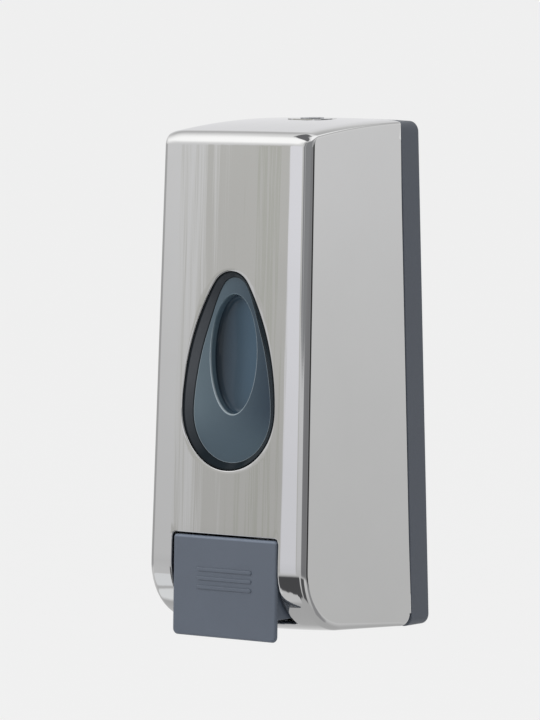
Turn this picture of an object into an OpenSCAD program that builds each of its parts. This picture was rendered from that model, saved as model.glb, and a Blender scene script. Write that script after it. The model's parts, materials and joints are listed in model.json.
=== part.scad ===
// Wall-mounted soap dispenser with a hinged cover, a push button and a piston pump.
// X runs to the right, Y runs into the wall and Z runs up. The wall is the plane Y = 0, the front
// faces -Y, and the origin is the middle of the four wall screw holes on the back face.

/* [Body] */
// Width of the cover at mid height
body_w = 100; // [98:1:104]
// Height of the cover where it meets the back plate
body_h = 258; // [256:1:262]
// Distance from the wall to the front face at mid height
body_d = 94; // [93:1:97]
// Depth of the back plate
plate_d = 14.8; // [14:0.1:16]
// Wall thickness of the cover
shell_t = 2.2; // [1.8:0.1:2.4]
// Narrowing of each side per unit of height
side_taper = 0.0123; // [0.008:0.0001:0.014]
// Backward lean of the front face per unit of height
front_slope = 0.062; // [0.055:0.001:0.065]
// Fall of the top towards the front per unit of depth
top_fall = 0.072; // [0.06:0.001:0.08]
// Rise of the underside towards the front per unit of depth
bottom_rise = 0.081; // [0.07:0.001:0.085]
// Radius of the upright front corners
corner_r = 4.5; // [3:0.5:6]
// Radius where the front face turns into the top
brow_r = 6.8; // [5:0.1:8]
// Radius where the front face sweeps under into the bottom
sweep_r = 31; // [29:1:32]
// Radius along the sides of the top
edge_r = 4; // [2:0.5:5]

/* [Window] */
// Radius of the round lower end of the window
drop_r = 30; // [28:0.5:31]
// Height of the centre of the round lower end
drop_low = -14.8; // [-18:0.2:-12]
// Radius of the long sides of the window
drop_side_r = 115; // [105:1:120]
// Radius of the nose of the window
drop_nose_r = 12; // [10:0.5:13]
// Width of the bevel round the window
bevel_w = 4.1; // [3:0.1:5]
// Depth of the bevel round the window
bevel_depth = 3.7; // [3:0.1:4]
// Half width of the oval finger dish in the window
dish_half_w = 15.5; // [13:0.5:16]
// Half height of the oval finger dish in the window
dish_half_h = 29.8; // [26:0.2:30]
// Height of the centre of the oval dish
dish_mid = 12.2; // [10:0.2:14]
// Depth of the oval dish below the flat of the window
dish_depth = 4.5; // [3:0.1:5]

/* [Button] */
// Width of the push button
button_w = 69; // [67:0.5:69.5]
// Height of the push button
button_h = 51; // [50:0.5:52]
// Height of the upper edge of the push button
button_top = -77.9; // [-79:0.1:-77]
// Thickness of the button plate
button_t = 3; // [2.5:0.1:3.2]
// Gap between the button and the cover
button_gap = 1.2; // [0.8:0.1:1.4]
// Number of grip ribs on the button
rib_count = 3; // [2:1:4]

/* [Pump] */
// Radius of the pump bore
bore_r = 9; // [8.5:0.1:9.2]
// Height of the pump axis
pump_z = -106; // [-107:0.5:-105]
// Distance from the wall to the inlet and the outlet
port_d = 58; // [57:0.5:59]
// Number of turns of the pump spring
spring_turns = 5; // [4:1:6]

/* [Mounting] */
// Distance between wall screws, side to side
screw_dx = 56; // [50:1:60]
// Distance between wall screws, up and down
screw_dz = 190; // [188:1:196]
// Radius of a wall screw hole
screw_hole_r = 2.5; // [2:0.1:3]

/* [Hidden] */
$fn = 64;
arc_steps = 8;
over = 1;
chrome_color = [0.80, 0.80, 0.79];
grey_color = [0.37, 0.40, 0.45];
smoke_color = [0.20, 0.26, 0.31];
white_color = [0.92, 0.93, 0.93];
clear_color = [0.86, 0.88, 0.86];
rubber_color = [0.12, 0.12, 0.13];
silicone_color = [0.88, 0.86, 0.82];
steel_color = [0.66, 0.67, 0.69];

// Body lines: where the sides, the front, the top and the underside run
half_h = body_h / 2;
function half_w(z) = body_w / 2 - side_taper * z;
function front_y(z) = -body_d + front_slope * z;
function top_z(y) = half_h + top_fall * (y + plate_d);
function bottom_z(y) = -half_h - bottom_rise * (y + plate_d);
lean = atan(front_slope);
low_front_z = (-half_h + bottom_rise * (body_d - plate_d)) / (1 + bottom_rise * front_slope);
high_front_z = (half_h - top_fall * (body_d - plate_d)) / (1 - top_fall * front_slope);
seam_gap = 0.2;
cover_back = -plate_d - seam_gap;

// Hinge of the cover: the lower back corner of the cover is round about this axis
hinge_r = 5;
hinge_y = cover_back - hinge_r;
hinge_z = bottom_z(hinge_y) + hinge_r * sqrt(1 + bottom_rise * bottom_rise);
hinge_pin_r = 2;
hinge_lug_r = 4.2;
hinge_lug_x = [30, 36];
hinge_ear_x = [36.6, 40.6];
hinge_pin_x = [29.5, 41.2];
run_gap = 0.05;
notch_play = 0.5;

// Back plate
plate_floor = 3;
plate_wall = 2.5;
plate_corner_r = 5;
pad_r = 7;
pad_h = 1.5;
rest_x = 25;
rest_z = 70;
rest_t = 4;

// Window parts, by depth behind the front face
gasket_t = 0.8;
flange_out = 4;
flange_t = 2.5;
flange_front = shell_t + gasket_t;
flange_back = flange_front + flange_t;
lens_play = 0.2;
lens_rim_depth = 0.3;
lens_rim_w = 0.5;
dish_wall = 1.6;
drop_shift = drop_side_r - drop_r;
drop_nose = drop_low + sqrt(pow(drop_side_r - drop_nose_r, 2) - pow(drop_shift, 2));
drop_turn = atan2(drop_nose - drop_low, drop_shift);
lens_screw_r = 1.3;
lens_head_r = 4.2;
lens_head_h = 1.8;
lens_boss_r = 2.8;
lens_boss_out = 7.2;
lens_low_turn = -40;
lens_high_turn = 19;
lens_screw_at = [
    [0, drop_low] + (drop_r + lens_boss_out) * [cos(lens_low_turn), sin(lens_low_turn)],
    [-drop_shift, drop_low] + (drop_side_r + lens_boss_out) * [cos(lens_high_turn), sin(lens_high_turn)]];

// Button and its pivot
button_slope = 0.043;
button_lean = atan(button_slope);
button_set = 0.4;
button_radii = [3, 3, 2, 2];
button_mid_z = button_top - button_h / 2;
button_mid_y = front_y(button_top) + button_set - button_slope * button_h / 2;
function button_face(z) = button_mid_y + button_slope * (z - button_mid_z);
pivot_y = -92;
pivot_z = -84;
pivot_r = 1.5;
pivot_ear_x = [36.5, 40];
pivot_ear_h = 5;
hub_r = 4;
hub_x = 27;
cheek_x = [31.5, 34.3];
cheek_back = -84.5;
cheek_bottom = -116.5;
cheek_drop = 2;
cut_back = -83.5;
rib_w = 36;
rib_h = 2;
rib_rise = 0.6;
rib_pitch = 4.5;
rib_mid = 4;
bumper_r = 4.8;
bumper_dome_r = 6;
pusher_r = 5;
push_gap = 0.2;
bumper_len = 3;

// Pump, along Y at height pump_z
cyl_r = 11;
port_y = -port_d;
cyl_front = -78;
cyl_back = -48;
cap_back = -44.5;
cap_r = 10.4;
cap_spigot = 2;
socket_r = 12;
socket_top = -78.5;
socket_bottom = -95.5;
neck_r = 9;
neck_bore_r = 6;
neck_bottom = -86;
ledge_z = -88;
pocket_z = -93;
pocket_r = 7.5;
port_r = 3.5;
outlet_r = 6;
outlet_bore_r = 4;
outlet_bottom = -120.6;
spout_hole_r = 8.5;
seal_z = [-83.5, -81.5];
seal_out_r = 10.4;
head_r = 9;
head_y = [-90, -87.5];
bumper_tip = head_y[0] - push_gap;
bumper_back = bumper_tip - bumper_len;
rod_r = 5.8;
rod_play = 0.3;
piston_y = [-77.7, -68.2];
piston_slack = 0.05;
groove_y = [-72, -70];
groove_r = 7.5;
seal_play = 0.02;
feed_hole_r = 1.8;
feed_ring_r = 4.2;
stem_r = 1.4;
bulb_r = 2.2;
bulb_h = 1;
umbrella_r = 6.8;
umbrella_t = 1;
valve_gap = 0.2;
stem_play = 0.1;
spring_seat_r = 5;
spring_seat_len = 3;
spring_r = 6.6;
wire_r = 0.6;
retainer_y = [-80.5, -74];
retainer_r = 12.5;

// Reservoir, on the shelf of the pump bracket
tank_x = 42;
tank_y = [-79, -18.5];
tank_z = [-66, 92];
tank_wall = 1.8;
tank_r = 6;
rim_out = 1.5;
rim_h = 3;
lid_t = 2.5;
skirt_z = 89;
skirt_t = 2;
skirt_play = 0.3;
lid_gasket_t = 1;
lid_panel_h = 1;
tab_x = 12;
tab_len = 3;
tab_r = 3;
neck_play = 0.3;
neck_gasket_t = 1;
neck_out = 3.4;
neck_nut_h = 6;

// Pump bracket
shelf_t = 2.5;
shelf_x = 34;
shelf_front = -76;
bracket_t = 2.5;
bracket_low = -86;
web_x = 13;
web_y = [-44.5, -42];
web_low = -119;
gusset_back = -12;
gusset_low = -112;
bracket_screw_x = 29;
bracket_screw_z = [-72, -81];
bracket_screw_r = 1.7;
bracket_head_r = 3.2;
bracket_head_h = 2;
screw_skin = 0.5;
recess_depth = 0.8;
recess_half_w = 0.4;
recess_half_len = 2;

// Lock in the top of the cover
lock_y = -26;
lock_bezel_x = 14;
lock_bezel_r = 7.5;
lock_top = 129;
lock_r = 5;
lock_head_r = 6;
lock_head_h = 1;
lock_head_rise = 0.4;
sleeve_r = 7;
sleeve_bottom = 118.5;
nut_z = [120.5, 124.6];
nut_r = 11;
cam_z = [112, 115];
cam_hub_r = 6;
cam_r = [11, 14];
cam_half_angle = 35;
cam_arm_turn = 9;
cam_arm_w = 3.8;
cam_screw_r = 1.5;
cam_thread = 5;
key_half_w = 0.6;
key_half_len = 2.8;
key_depth = 5;
catch_y = lock_y + 8.5;
catch_z = [110.5, 116, 118];
catch_r = 1.5;
catch_x = 5;

// Vectors and outlines
function unit(v) = v / norm(v);
function line_cross(p, d, q, e) = p + d * (cross(q - p, e) / cross(d, e));
// Points of an arc about c from angle a over a turn, with the last point left out if open
function arc(c, r, a, turn, n, open = false) =
    [for (i = [0:(open ? n - 1 : n)]) c + r * [cos(a + turn * i / n), sin(a + turn * i / n)]];
function round_corner(a, p, b, r) = r <= 0 ? [p] :
    let (u = unit(a - p), v = unit(b - p), half = acos(u * v) / 2,
        c = p + unit(u + v) * r / sin(half), t = p + u * r / tan(half) - c)
    arc(c, r, atan2(t.y, t.x), 180 - 2 * half, arc_steps);
// A convex outline, anticlockwise, with a radius at each corner
function rounded(pts, radii) = let (n = len(pts)) [for (i = [0:n - 1])
    each round_corner(pts[(i + n - 1) % n], pts[i], pts[(i + 1) % n], radii[i])];
// The outline moved inwards by t[i] along the edge that leaves corner i
function inset(pts, t) = let (n = len(pts)) [for (i = [0:n - 1])
    let (j = (i + n - 1) % n, d = unit(pts[i] - pts[j]), e = unit(pts[(i + 1) % n] - pts[i]))
    line_cross(pts[i] + t[j] * [-d.y, d.x], d, pts[i] + t[i] * [-e.y, e.x], e)];
function box_outline(x, y) = [[x[0], y[0]], [x[1], y[0]], [x[1], y[1]], [x[0], y[1]]];
function even(r) = [r, r, r, r];
function about(c, h) = [c - h, c + h];
// Outlines of the body from the side, as (y, z), and from the front, as (x, z)
side_outline = [[front_y(low_front_z), low_front_z], [cover_back, bottom_z(cover_back)],
    [cover_back, top_z(cover_back)], [front_y(high_front_z), high_front_z]];
function face_outline(z) = [[-half_w(-z), -z], [half_w(-z), -z], [half_w(z), z], [-half_w(z), z]];
// The window's outline moved inwards by d: a round low end, two long sides and a round nose
function drop_outline(d) = concat(
    arc([0, drop_low], drop_r - d, 180, 180, 2 * arc_steps, true),
    arc([-drop_shift, drop_low], drop_side_r - d, 0, drop_turn, arc_steps, true),
    arc([0, drop_nose], drop_nose_r - d, drop_turn, 180 - 2 * drop_turn, arc_steps, true),
    arc([drop_shift, drop_low], drop_side_r - d, 180 - drop_turn, drop_turn, arc_steps, true));
function dish_outline(d) = [for (i = [0:4 * arc_steps - 1]) let (a = 90 * i / arc_steps)
    [(dish_half_w + d) * cos(a), dish_mid + (dish_half_h + d) * sin(a)]];

// Extrusions along the axes, and frames whose local z points out of a face
module along_x(x) { translate([x[0], 0, 0]) rotate([90, 0, 90]) linear_extrude(x[1] - x[0]) children(); }
module along_y(y) { translate([0, y[1], 0]) rotate([90, 0, 0]) linear_extrude(y[1] - y[0]) children(); }
module along_z(z) { translate([0, 0, z[0]]) linear_extrude(z[1] - z[0]) children(); }
module rod_x(x, y, z, r) { translate([x[0], y, z]) rotate([0, 90, 0]) cylinder(h = x[1] - x[0], r = r); }
module rod_y(y, x, z, r) { translate([x, y[1], z]) rotate([90, 0, 0]) cylinder(h = y[1] - y[0], r = r); }
module rod_z(z, x, y, r) { translate([x, y, z[0]]) cylinder(h = z[1] - z[0], r = r); }
module block(x, y, z) { translate([x[0], y[0], z[0]]) cube([x[1] - x[0], y[1] - y[0], z[1] - z[0]]); }
module both_sides() { children(); mirror([1, 0, 0]) children(); }
module on_front() { translate([0, front_y(0), 0]) rotate([90 - lean, 0, 0]) children(); }
module on_button() { translate([0, button_mid_y, button_mid_z]) rotate([90 - button_lean, 0, 0]) children(); }
// A slab between two depths behind a face
module slab(depth) { translate([0, 0, -depth[1]]) linear_extrude(depth[1] - depth[0]) children(); }
// A solid between two window outlines at two depths
module drop_loft(d, depth) {
    low = drop_outline(d[1]);
    high = drop_outline(d[0]);
    n = len(low);
    sides = [for (i = [0:n - 1]) [i, n + i, n + (i + 1) % n, (i + 1) % n]];
    polyhedron(
        [for (p = low) [p.x, p.y, -depth[1]], for (p = high) [p.x, p.y, -depth[0]]],
        concat([[for (i = [0:n - 1]) i]], [[for (i = [0:n - 1]) 2 * n - 1 - i]], sides));
}
// What rounding takes off a straight edge through p between faces with outward normals a and b
module edge_round(p, a, b, r, reach) {
    e = unit(cross(a, b));
    s = cross(e, a);
    turn = acos(a * b);
    mid = [cos(turn / 2), sin(turn / 2)];
    c = -r / cos(turn / 2) * mid;
    out = [cos(turn), sin(turn)];
    multmatrix([[a.x, s.x, e.x, p.x], [a.y, s.y, e.y, p.y], [a.z, s.z, e.z, p.z], [0, 0, 0, 1]])
        translate([0, 0, -reach]) linear_extrude(2 * reach)
            polygon(concat(arc(c, r, 0, turn, arc_steps),
                [c + (r + over) * out, 2 * r * mid, c + [r + over, 0]]));
}

// Back plate: a shallow tray on the wall, with hinge lugs, a lock catch and rests for the reservoir
module back_plate() color(grey_color) {
    outline = face_outline(half_h);
    radii = even(plate_corner_r);
    difference() {
        union() {
            difference() {
                along_y([-plate_d, 0]) polygon(rounded(outline, radii));
                along_y([-plate_d - over, -plate_floor])
                    polygon(rounded(inset(outline, even(plate_wall)), radii - even(plate_wall)));
            }
            for (x = [-1, 1] * screw_dx / 2, z = [-1, 1] * screw_dz / 2)
                rod_y([-plate_floor - pad_h, -plate_floor / 2], x, z, pad_r);
            both_sides() {
                rod_x(hinge_lug_x, hinge_y, hinge_z, hinge_lug_r);
                block(hinge_lug_x, [hinge_y, -plate_floor / 2], about(hinge_z, hinge_lug_r));
                block(about(rest_x, rest_t / 2), [tank_y[1], -plate_floor / 2], about(rest_z, rest_t / 2));
            }
            block([-1, 1] * catch_x, [catch_y - 2, -plate_floor / 2], [catch_z[1], catch_z[2]]);
            rod_z([catch_z[0], catch_z[1] + over], 0, catch_y, catch_r);
        }
        for (x = [-1, 1] * screw_dx / 2, z = [-1, 1] * screw_dz / 2)
            rod_y([-plate_d, over], x, z, screw_hole_r);
        for (x = [-1, 1] * bracket_screw_x, z = bracket_screw_z)
            rod_y([-plate_floor - over, -screw_skin], x, z, bracket_screw_r + run_gap);
        both_sides() rod_x([hinge_lug_x[0] - over, hinge_lug_x[1] + over], hinge_y, hinge_z, hinge_pin_r);
    }
}

module hinge_pins() color(steel_color) both_sides() rod_x(hinge_pin_x, hinge_y, hinge_z, hinge_pin_r);

// Pump bracket: a shelf for the reservoir, with a web that takes the push on the pump
module pump_bracket() color(white_color) difference() {
    top = tank_z[0];
    union() {
        block([-1, 1] * shelf_x, [-plate_floor - bracket_t, -plate_floor], [bracket_low, top]);
        block([-1, 1] * shelf_x, [shelf_front, -plate_floor], [top - shelf_t, top]);
        block([-1, 1] * web_x, web_y, [web_low, top]);
        both_sides() along_x([web_x - bracket_t, web_x]) polygon([
            [web_y[0] + over, top - over], [web_y[0] + over, gusset_low], [web_y[1], gusset_low],
            [gusset_back, top - shelf_t], [gusset_back, top - over]]);
    }
    for (x = [-1, 1] * bracket_screw_x, z = bracket_screw_z)
        rod_y([-plate_floor - bracket_t - over, 0], x, z, bracket_screw_r + run_gap);
    rod_z([top - shelf_t - over, top + over], 0, port_y, neck_r + neck_play);
}

module bracket_screws() color(steel_color) for (x = [-1, 1] * bracket_screw_x, z = bracket_screw_z) {
    face = -plate_floor - bracket_t;
    difference() {
        union() {
            rod_y([face - bracket_head_h, face], x, z, bracket_head_r);
            rod_y([face - over, -screw_skin - run_gap], x, z, bracket_screw_r);
        }
        block(about(x, recess_half_len), about(face - bracket_head_h, recess_depth), about(z, recess_half_w));
        block(about(x, recess_half_w), about(face - bracket_head_h, recess_depth), about(z, recess_half_len));
    }
}

// Reservoir: an open tank with a rim and an outlet neck
module tank_shape(d)
    polygon(rounded(inset(box_outline([-tank_x, tank_x], tank_y), even(d)), even(tank_r - d)));
module reservoir() color(clear_color) difference() {
    union() {
        along_z(tank_z) tank_shape(0);
        along_z([tank_z[1] - rim_h, tank_z[1]]) tank_shape(-rim_out);
        rod_z([neck_bottom, tank_z[0] + over], 0, port_y, neck_r);
    }
    along_z([tank_z[0] + tank_wall, tank_z[1] + over]) tank_shape(tank_wall);
    rod_z([neck_bottom - over, tank_z[0] + 2 * tank_wall], 0, port_y, neck_bore_r);
}

module lid_gasket() color(rubber_color) along_z([tank_z[1], tank_z[1] + lid_gasket_t]) difference() {
    tank_shape(-rim_out);
    tank_shape(tank_wall);
}

// Lid of the reservoir: a plate with a skirt inside the tank, a raised panel and a finger tab
module reservoir_lid() color(white_color) {
    base = tank_z[1] + lid_gasket_t;
    along_z([base, base + lid_t]) tank_shape(-rim_out);
    along_z([base + lid_t - over, base + lid_t + lid_panel_h]) tank_shape(tank_r - over);
    along_z([skirt_z, base + over]) difference() {
        tank_shape(tank_wall + skirt_play);
        tank_shape(tank_wall + skirt_play + skirt_t);
    }
    along_z([base, base + lid_t]) polygon(rounded(box_outline([-tab_x, tab_x],
        [tank_y[0] - rim_out - tab_len, tank_y[0] + over]), [tab_r, tab_r, 0, 0]));
}

module neck_gasket() color(rubber_color) difference() {
    top = tank_z[0] - shelf_t;
    rod_z([top - neck_gasket_t, top], 0, port_y, neck_r + neck_out);
    rod_z([top - neck_gasket_t - over, top + over], 0, port_y, neck_r + run_gap);
}

module neck_nut() color(white_color) difference() {
    top = tank_z[0] - shelf_t - neck_gasket_t;
    translate([0, port_y, top - neck_nut_h]) cylinder(h = neck_nut_h, r = neck_r + neck_out, $fn = 12);
    rod_z([top - neck_nut_h - over, top + over], 0, port_y, neck_r + run_gap);
}

// Pump cylinder: a bore along Y with a socket for the neck above and an outlet boss below
module pump_cylinder() color(white_color) difference() {
    union() {
        rod_y([cyl_front, cyl_back], 0, pump_z, cyl_r);
        rod_z([socket_bottom, socket_top], 0, port_y, socket_r);
        block([-1, 1] * bore_r, [port_y - cyl_r, cyl_back - over], [pump_z, socket_bottom + over]);
        rod_z([outlet_bottom, pump_z], 0, port_y, outlet_r);
    }
    rod_y([cyl_front - over, cyl_back + over], 0, pump_z, bore_r);
    rod_z([ledge_z, socket_top + over], 0, port_y, neck_r + run_gap);
    rod_z([pocket_z, ledge_z + over], 0, port_y, pocket_r);
    rod_z([pump_z, pocket_z + over], 0, port_y, port_r);
    rod_z([outlet_bottom - over, pump_z], 0, port_y, outlet_bore_r);
    rod_z(seal_z, 0, port_y, seal_out_r);
}

module inlet_seal() color(rubber_color) difference() {
    rod_z(seal_z, 0, port_y, seal_out_r);
    rod_z([seal_z[0] - over, seal_z[1] + over], 0, port_y, neck_r);
}

// Inlet valve: a plate with feed holes, closed from below by a soft umbrella
module valve_plate() color(white_color) difference() {
    through = [ledge_z - over, neck_bottom];
    rod_z([ledge_z, neck_bottom - valve_gap], 0, port_y, neck_r);
    rod_z(through, 0, port_y, stem_r + stem_play);
    for (a = [0:90:270])
        rod_z(through, feed_ring_r * cos(a), port_y + feed_ring_r * sin(a), feed_hole_r);
}

module inlet_valve() color(silicone_color) {
    rod_z([ledge_z - umbrella_t, ledge_z], 0, port_y, umbrella_r);
    rod_z([ledge_z - umbrella_t, neck_bottom + bulb_h], 0, port_y, stem_r);
    rod_z([neck_bottom - valve_gap, neck_bottom + bulb_h], 0, port_y, bulb_r);
}

module cylinder_cap() color(white_color) {
    rod_y([cyl_back, cap_back], 0, pump_z, cap_r);
    rod_y([cyl_back - cap_spigot, cyl_back + over], 0, pump_z, bore_r - piston_slack);
}

module piston_retainer() color(white_color) difference() {
    rod_y(retainer_y, 0, pump_z, retainer_r);
    rod_y([cyl_front, retainer_y[1] + over], 0, pump_z, cyl_r);
    rod_y([retainer_y[0] - over, cyl_front + over], 0, pump_z, rod_r + rod_play);
}

module pump_piston() color(white_color) difference() {
    union() {
        rod_y(head_y, 0, pump_z, head_r);
        rod_y([head_y[0] + over, piston_y[0] + over], 0, pump_z, rod_r);
        rod_y(piston_y, 0, pump_z, bore_r - piston_slack);
        rod_y([piston_y[1] - over, piston_y[1] + spring_seat_len], 0, pump_z, spring_seat_r);
    }
    difference() {
        rod_y(groove_y, 0, pump_z, bore_r + over);
        rod_y([groove_y[0] - over, groove_y[1] + over], 0, pump_z, groove_r);
    }
}

module piston_seal() color(rubber_color) difference() {
    rod_y(groove_y, 0, pump_z, bore_r - seal_play);
    rod_y([groove_y[0] - over, groove_y[1] + over], 0, pump_z, groove_r);
}

// Pump spring: one unbroken helical tube between the piston and the cap
spring_y = [piston_y[1] + wire_r, cyl_back - cap_spigot - wire_r];
wire_sides = 6;
rings_per_turn = 12;
spring_rings = spring_turns * rings_per_turn;
function coil_point(i) = let (a = 360 * i / rings_per_turn)
    [spring_r * cos(a), spring_y[0] + (spring_y[1] - spring_y[0]) * i / spring_rings,
        pump_z + spring_r * sin(a)];
module pump_spring() color(steel_color) {
    centres = [for (i = [0:spring_rings]) coil_point(i)];
    gap = min([for (i = [0:spring_rings - rings_per_turn])
        norm(centres[i] - centres[i + rings_per_turn]) - 2 * wire_r]);
    echo(spring_gap = gap);
    rings = [for (i = [0:spring_rings]) let (a = 360 * i / rings_per_turn, out = [cos(a), 0, sin(a)],
        run = unit(coil_point(i + 1) - coil_point(i - 1)), up = unit(cross(run, out)))
        [for (k = [0:wire_sides - 1]) let (w = 360 * k / wire_sides)
            centres[i] + wire_r * (cos(w) * out + sin(w) * up)]];
    last = spring_rings * wire_sides;
    polyhedron([for (ring = rings) each ring], concat(
        [[for (k = [0:wire_sides - 1]) wire_sides - 1 - k]], [[for (k = [0:wire_sides - 1]) last + k]],
        [for (i = [0:spring_rings - 1], k = [0:wire_sides - 1], half = [0, 1])
            let (a = i * wire_sides + k, b = i * wire_sides + (k + 1) % wire_sides)
            half == 0 ? [a, b, b + wire_sides] : [a, b + wire_sides, a + wire_sides]]));
}

// Outlet: a nozzle pressed over the boss clamps the flange of a soft duckbill
nozzle_bottom = -126.8;
nozzle_floor = -122.2;
nozzle_grip = 2.8;
nozzle_wall = 1.4;
spout_wall = 1;
duck_t = 0.6;
duck_r = 5;
duck_collar_h = 3;
duck_wall = 1.3;
bill_bottom = -125;
bill_play = 0.5;
bill_tip = 0.5;
slit_half_w = 0.15;
module outlet_nozzle() color(grey_color) difference() {
    union() {
        rod_z([nozzle_floor, outlet_bottom + nozzle_grip], 0, port_y, outlet_r + nozzle_wall);
        rod_z([nozzle_bottom, nozzle_floor + over / 2], 0, port_y, outlet_bore_r + spout_wall);
    }
    rod_z([outlet_bottom, outlet_bottom + nozzle_grip + over], 0, port_y, outlet_r);
    rod_z([outlet_bottom - duck_t, outlet_bottom + over], 0, port_y, duck_r);
    rod_z([nozzle_bottom - over, outlet_bottom + over], 0, port_y, outlet_bore_r);
}

module duckbill_valve() color(silicone_color) difference() {
    top = outlet_bottom - duck_t;
    union() {
        rod_z([top, outlet_bottom], 0, port_y, duck_r);
        rod_z([top, outlet_bottom + duck_collar_h], 0, port_y, outlet_bore_r);
        intersection() {
            rod_z([bill_bottom, outlet_bottom], 0, port_y, outlet_bore_r - bill_play);
            along_x([-1, 1] * duck_r) polygon([
                [port_y - bill_tip, bill_bottom], [port_y + bill_tip, bill_bottom],
                [port_y + outlet_bore_r, outlet_bottom], [port_y - outlet_bore_r, outlet_bottom]]);
        }
    }
    rod_z([top, outlet_bottom + duck_collar_h + over], 0, port_y, outlet_bore_r - duck_wall);
    block([-1, 1] * outlet_bore_r / 2, about(port_y, slit_half_w), [bill_bottom - over, outlet_bottom]);
}

// Front cover: a shell open at the back, with the window, the button's cut-out and the lock's hole
module cover_body(t) {
    depth = t > 0 ? over : 0;
    radii = t > 0 ? [sweep_r - t, 0, 0, brow_r - t] : [sweep_r, hinge_r, 0, brow_r];
    intersection() {
        along_x([-1, 1] * body_w)
            polygon(rounded(inset(side_outline, [t, -depth, t, t]), radii));
        along_y([-2 * body_d, 0]) polygon(inset(face_outline(body_h), even(t)));
    }
}
module lens_bosses(depth, r) on_front() both_sides() for (p = lens_screw_at)
    translate([p.x, p.y, 0]) slab(depth) circle(r);
module front_cover() color(chrome_color) {
    front = unit([0, -1, front_slope]);
    side = unit([1, 0, side_taper]);
    top = unit([0, -top_fall, 1]);
    wall_y = front_y(pivot_z) + shell_t / 2;
    difference() {
        union() {
            difference() {
                cover_body(0);
                cover_body(shell_t);
                both_sides() {
                    edge_round([half_w(0), front_y(0), 0], front, side, corner_r, body_h);
                    edge_round([half_w(half_h), -plate_d, half_h], side, top, edge_r, body_d);
                }
            }
            lens_bosses([shell_t / 2, flange_back], lens_boss_r);
            both_sides() {
                block(pivot_ear_x, [wall_y, pivot_y + hub_r], about(pivot_z, pivot_ear_h));
                rod_x(hinge_ear_x, hinge_y, hinge_z, hinge_lug_r);
                block(hinge_ear_x, [hinge_y - hinge_lug_r, hinge_y], [hinge_z - hinge_lug_r, hinge_z]);
            }
        }
        on_front() slab([-over, shell_t + over]) polygon(drop_outline(0));
        lens_bosses([shell_t, flange_back + over], lens_screw_r);
        block([-1, 1] * (button_w / 2 + button_gap), [-2 * body_d, cut_back], [-body_h, button_top + over]);
        rod_z([-body_h, pump_z], 0, port_y, spout_hole_r);
        rod_z([nut_z[0], body_h], 0, lock_y, sleeve_r + run_gap);
        rod_x([-1, 1] * (pivot_ear_x[1] + over), pivot_y, pivot_z, pivot_r);
        both_sides() {
            rod_x([hinge_ear_x[0] - over, hinge_ear_x[1] + over], hinge_y, hinge_z, hinge_pin_r + run_gap);
            block([hinge_lug_x[0] - notch_play, hinge_lug_x[1] + notch_play],
                [hinge_y - hinge_lug_r - notch_play, 0], [-body_h, hinge_z + hinge_lug_r]);
        }
    }
}

// Window: a smoked lens with a bevelled rim and an oval dish, clamped on a gasket by screws
module window_lens() color(smoke_color) on_front() {
    slope = (bevel_w - lens_rim_w) / (bevel_depth - lens_rim_depth);
    difference() {
        union() {
            slab([flange_front, flange_back]) polygon(drop_outline(-flange_out));
            slab([lens_rim_depth, flange_back - over]) polygon(drop_outline(lens_play));
            slab([flange_front + over, bevel_depth + dish_depth + dish_wall])
                polygon(dish_outline(dish_wall));
        }
        drop_loft([lens_rim_w - slope * (lens_rim_depth + over), bevel_w], [-over, bevel_depth]);
        slab([-over, bevel_depth + dish_depth]) polygon(dish_outline(0));
    }
}

module window_gasket() color(rubber_color) on_front() slab([shell_t, shell_t + gasket_t]) difference() {
    polygon(drop_outline(lens_play - flange_out));
    polygon(drop_outline(-lens_play));
}

module lens_screws() color(steel_color) {
    lens_bosses([flange_back, flange_back + lens_head_h], lens_head_r);
    lens_bosses([shell_t + over / 2, flange_back + over], lens_screw_r);
}

// Lock: a bezel through the top of the cover, held by a nut, with a barrel that turns a hook
module lock_bezel() color(chrome_color) {
    end_x = lock_bezel_x - lock_bezel_r;
    difference() {
        union() {
            intersection() {
                along_z([lock_top - 2 * shell_t, lock_top]) translate([0, lock_y]) {
                    square([2 * end_x, 2 * lock_bezel_r], center = true);
                    for (x = [-end_x, end_x]) translate([x, 0]) circle(lock_bezel_r);
                }
                along_x([-1, 1] * body_w)
                    polygon([[-body_d, top_z(-body_d)], [0, top_z(0)], [0, body_h], [-body_d, body_h]]);
            }
            rod_z([sleeve_bottom, lock_top], 0, lock_y, sleeve_r);
        }
        rod_z([sleeve_bottom - over, lock_top + over], 0, lock_y, lock_r + run_gap);
        rod_z([lock_top - lock_head_h, lock_top + over], 0, lock_y, lock_head_r + run_gap);
    }
}

module lock_nut() color(steel_color) difference() {
    translate([0, lock_y, nut_z[0]]) cylinder(h = nut_z[1] - nut_z[0], r = nut_r, $fn = 6);
    rod_z([nut_z[0] - over, nut_z[1] + over], 0, lock_y, sleeve_r);
}

module lock_barrel() color(steel_color) difference() {
    union() {
        rod_z([cam_z[1], lock_top], 0, lock_y, lock_r);
        rod_z([lock_top - lock_head_h, lock_top + lock_head_rise], 0, lock_y, lock_head_r);
    }
    block([-1, 1] * key_half_w, about(lock_y, key_half_len), [lock_top - key_depth, lock_top + over]);
    rod_z([cam_z[1] - over, cam_z[1] + cam_thread], 0, lock_y, cam_screw_r + run_gap);
}

module lock_cam() color(steel_color) difference() {
    along_z(cam_z) translate([0, lock_y]) {
        circle(cam_hub_r);
        polygon(concat(arc([0, 0], cam_r[1], -cam_half_angle, 2 * cam_half_angle, 2 * arc_steps),
            arc([0, 0], cam_r[0], cam_half_angle, -2 * cam_half_angle, 2 * arc_steps)));
        rotate(cam_arm_turn - cam_half_angle)
            translate([cam_hub_r / 2, -cam_arm_w / 2]) square([cam_r[0] + over - cam_hub_r / 2, cam_arm_w]);
    }
    rod_z([cam_z[0] - over, cam_z[1] + over], 0, lock_y, cam_screw_r + run_gap);
}

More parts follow.
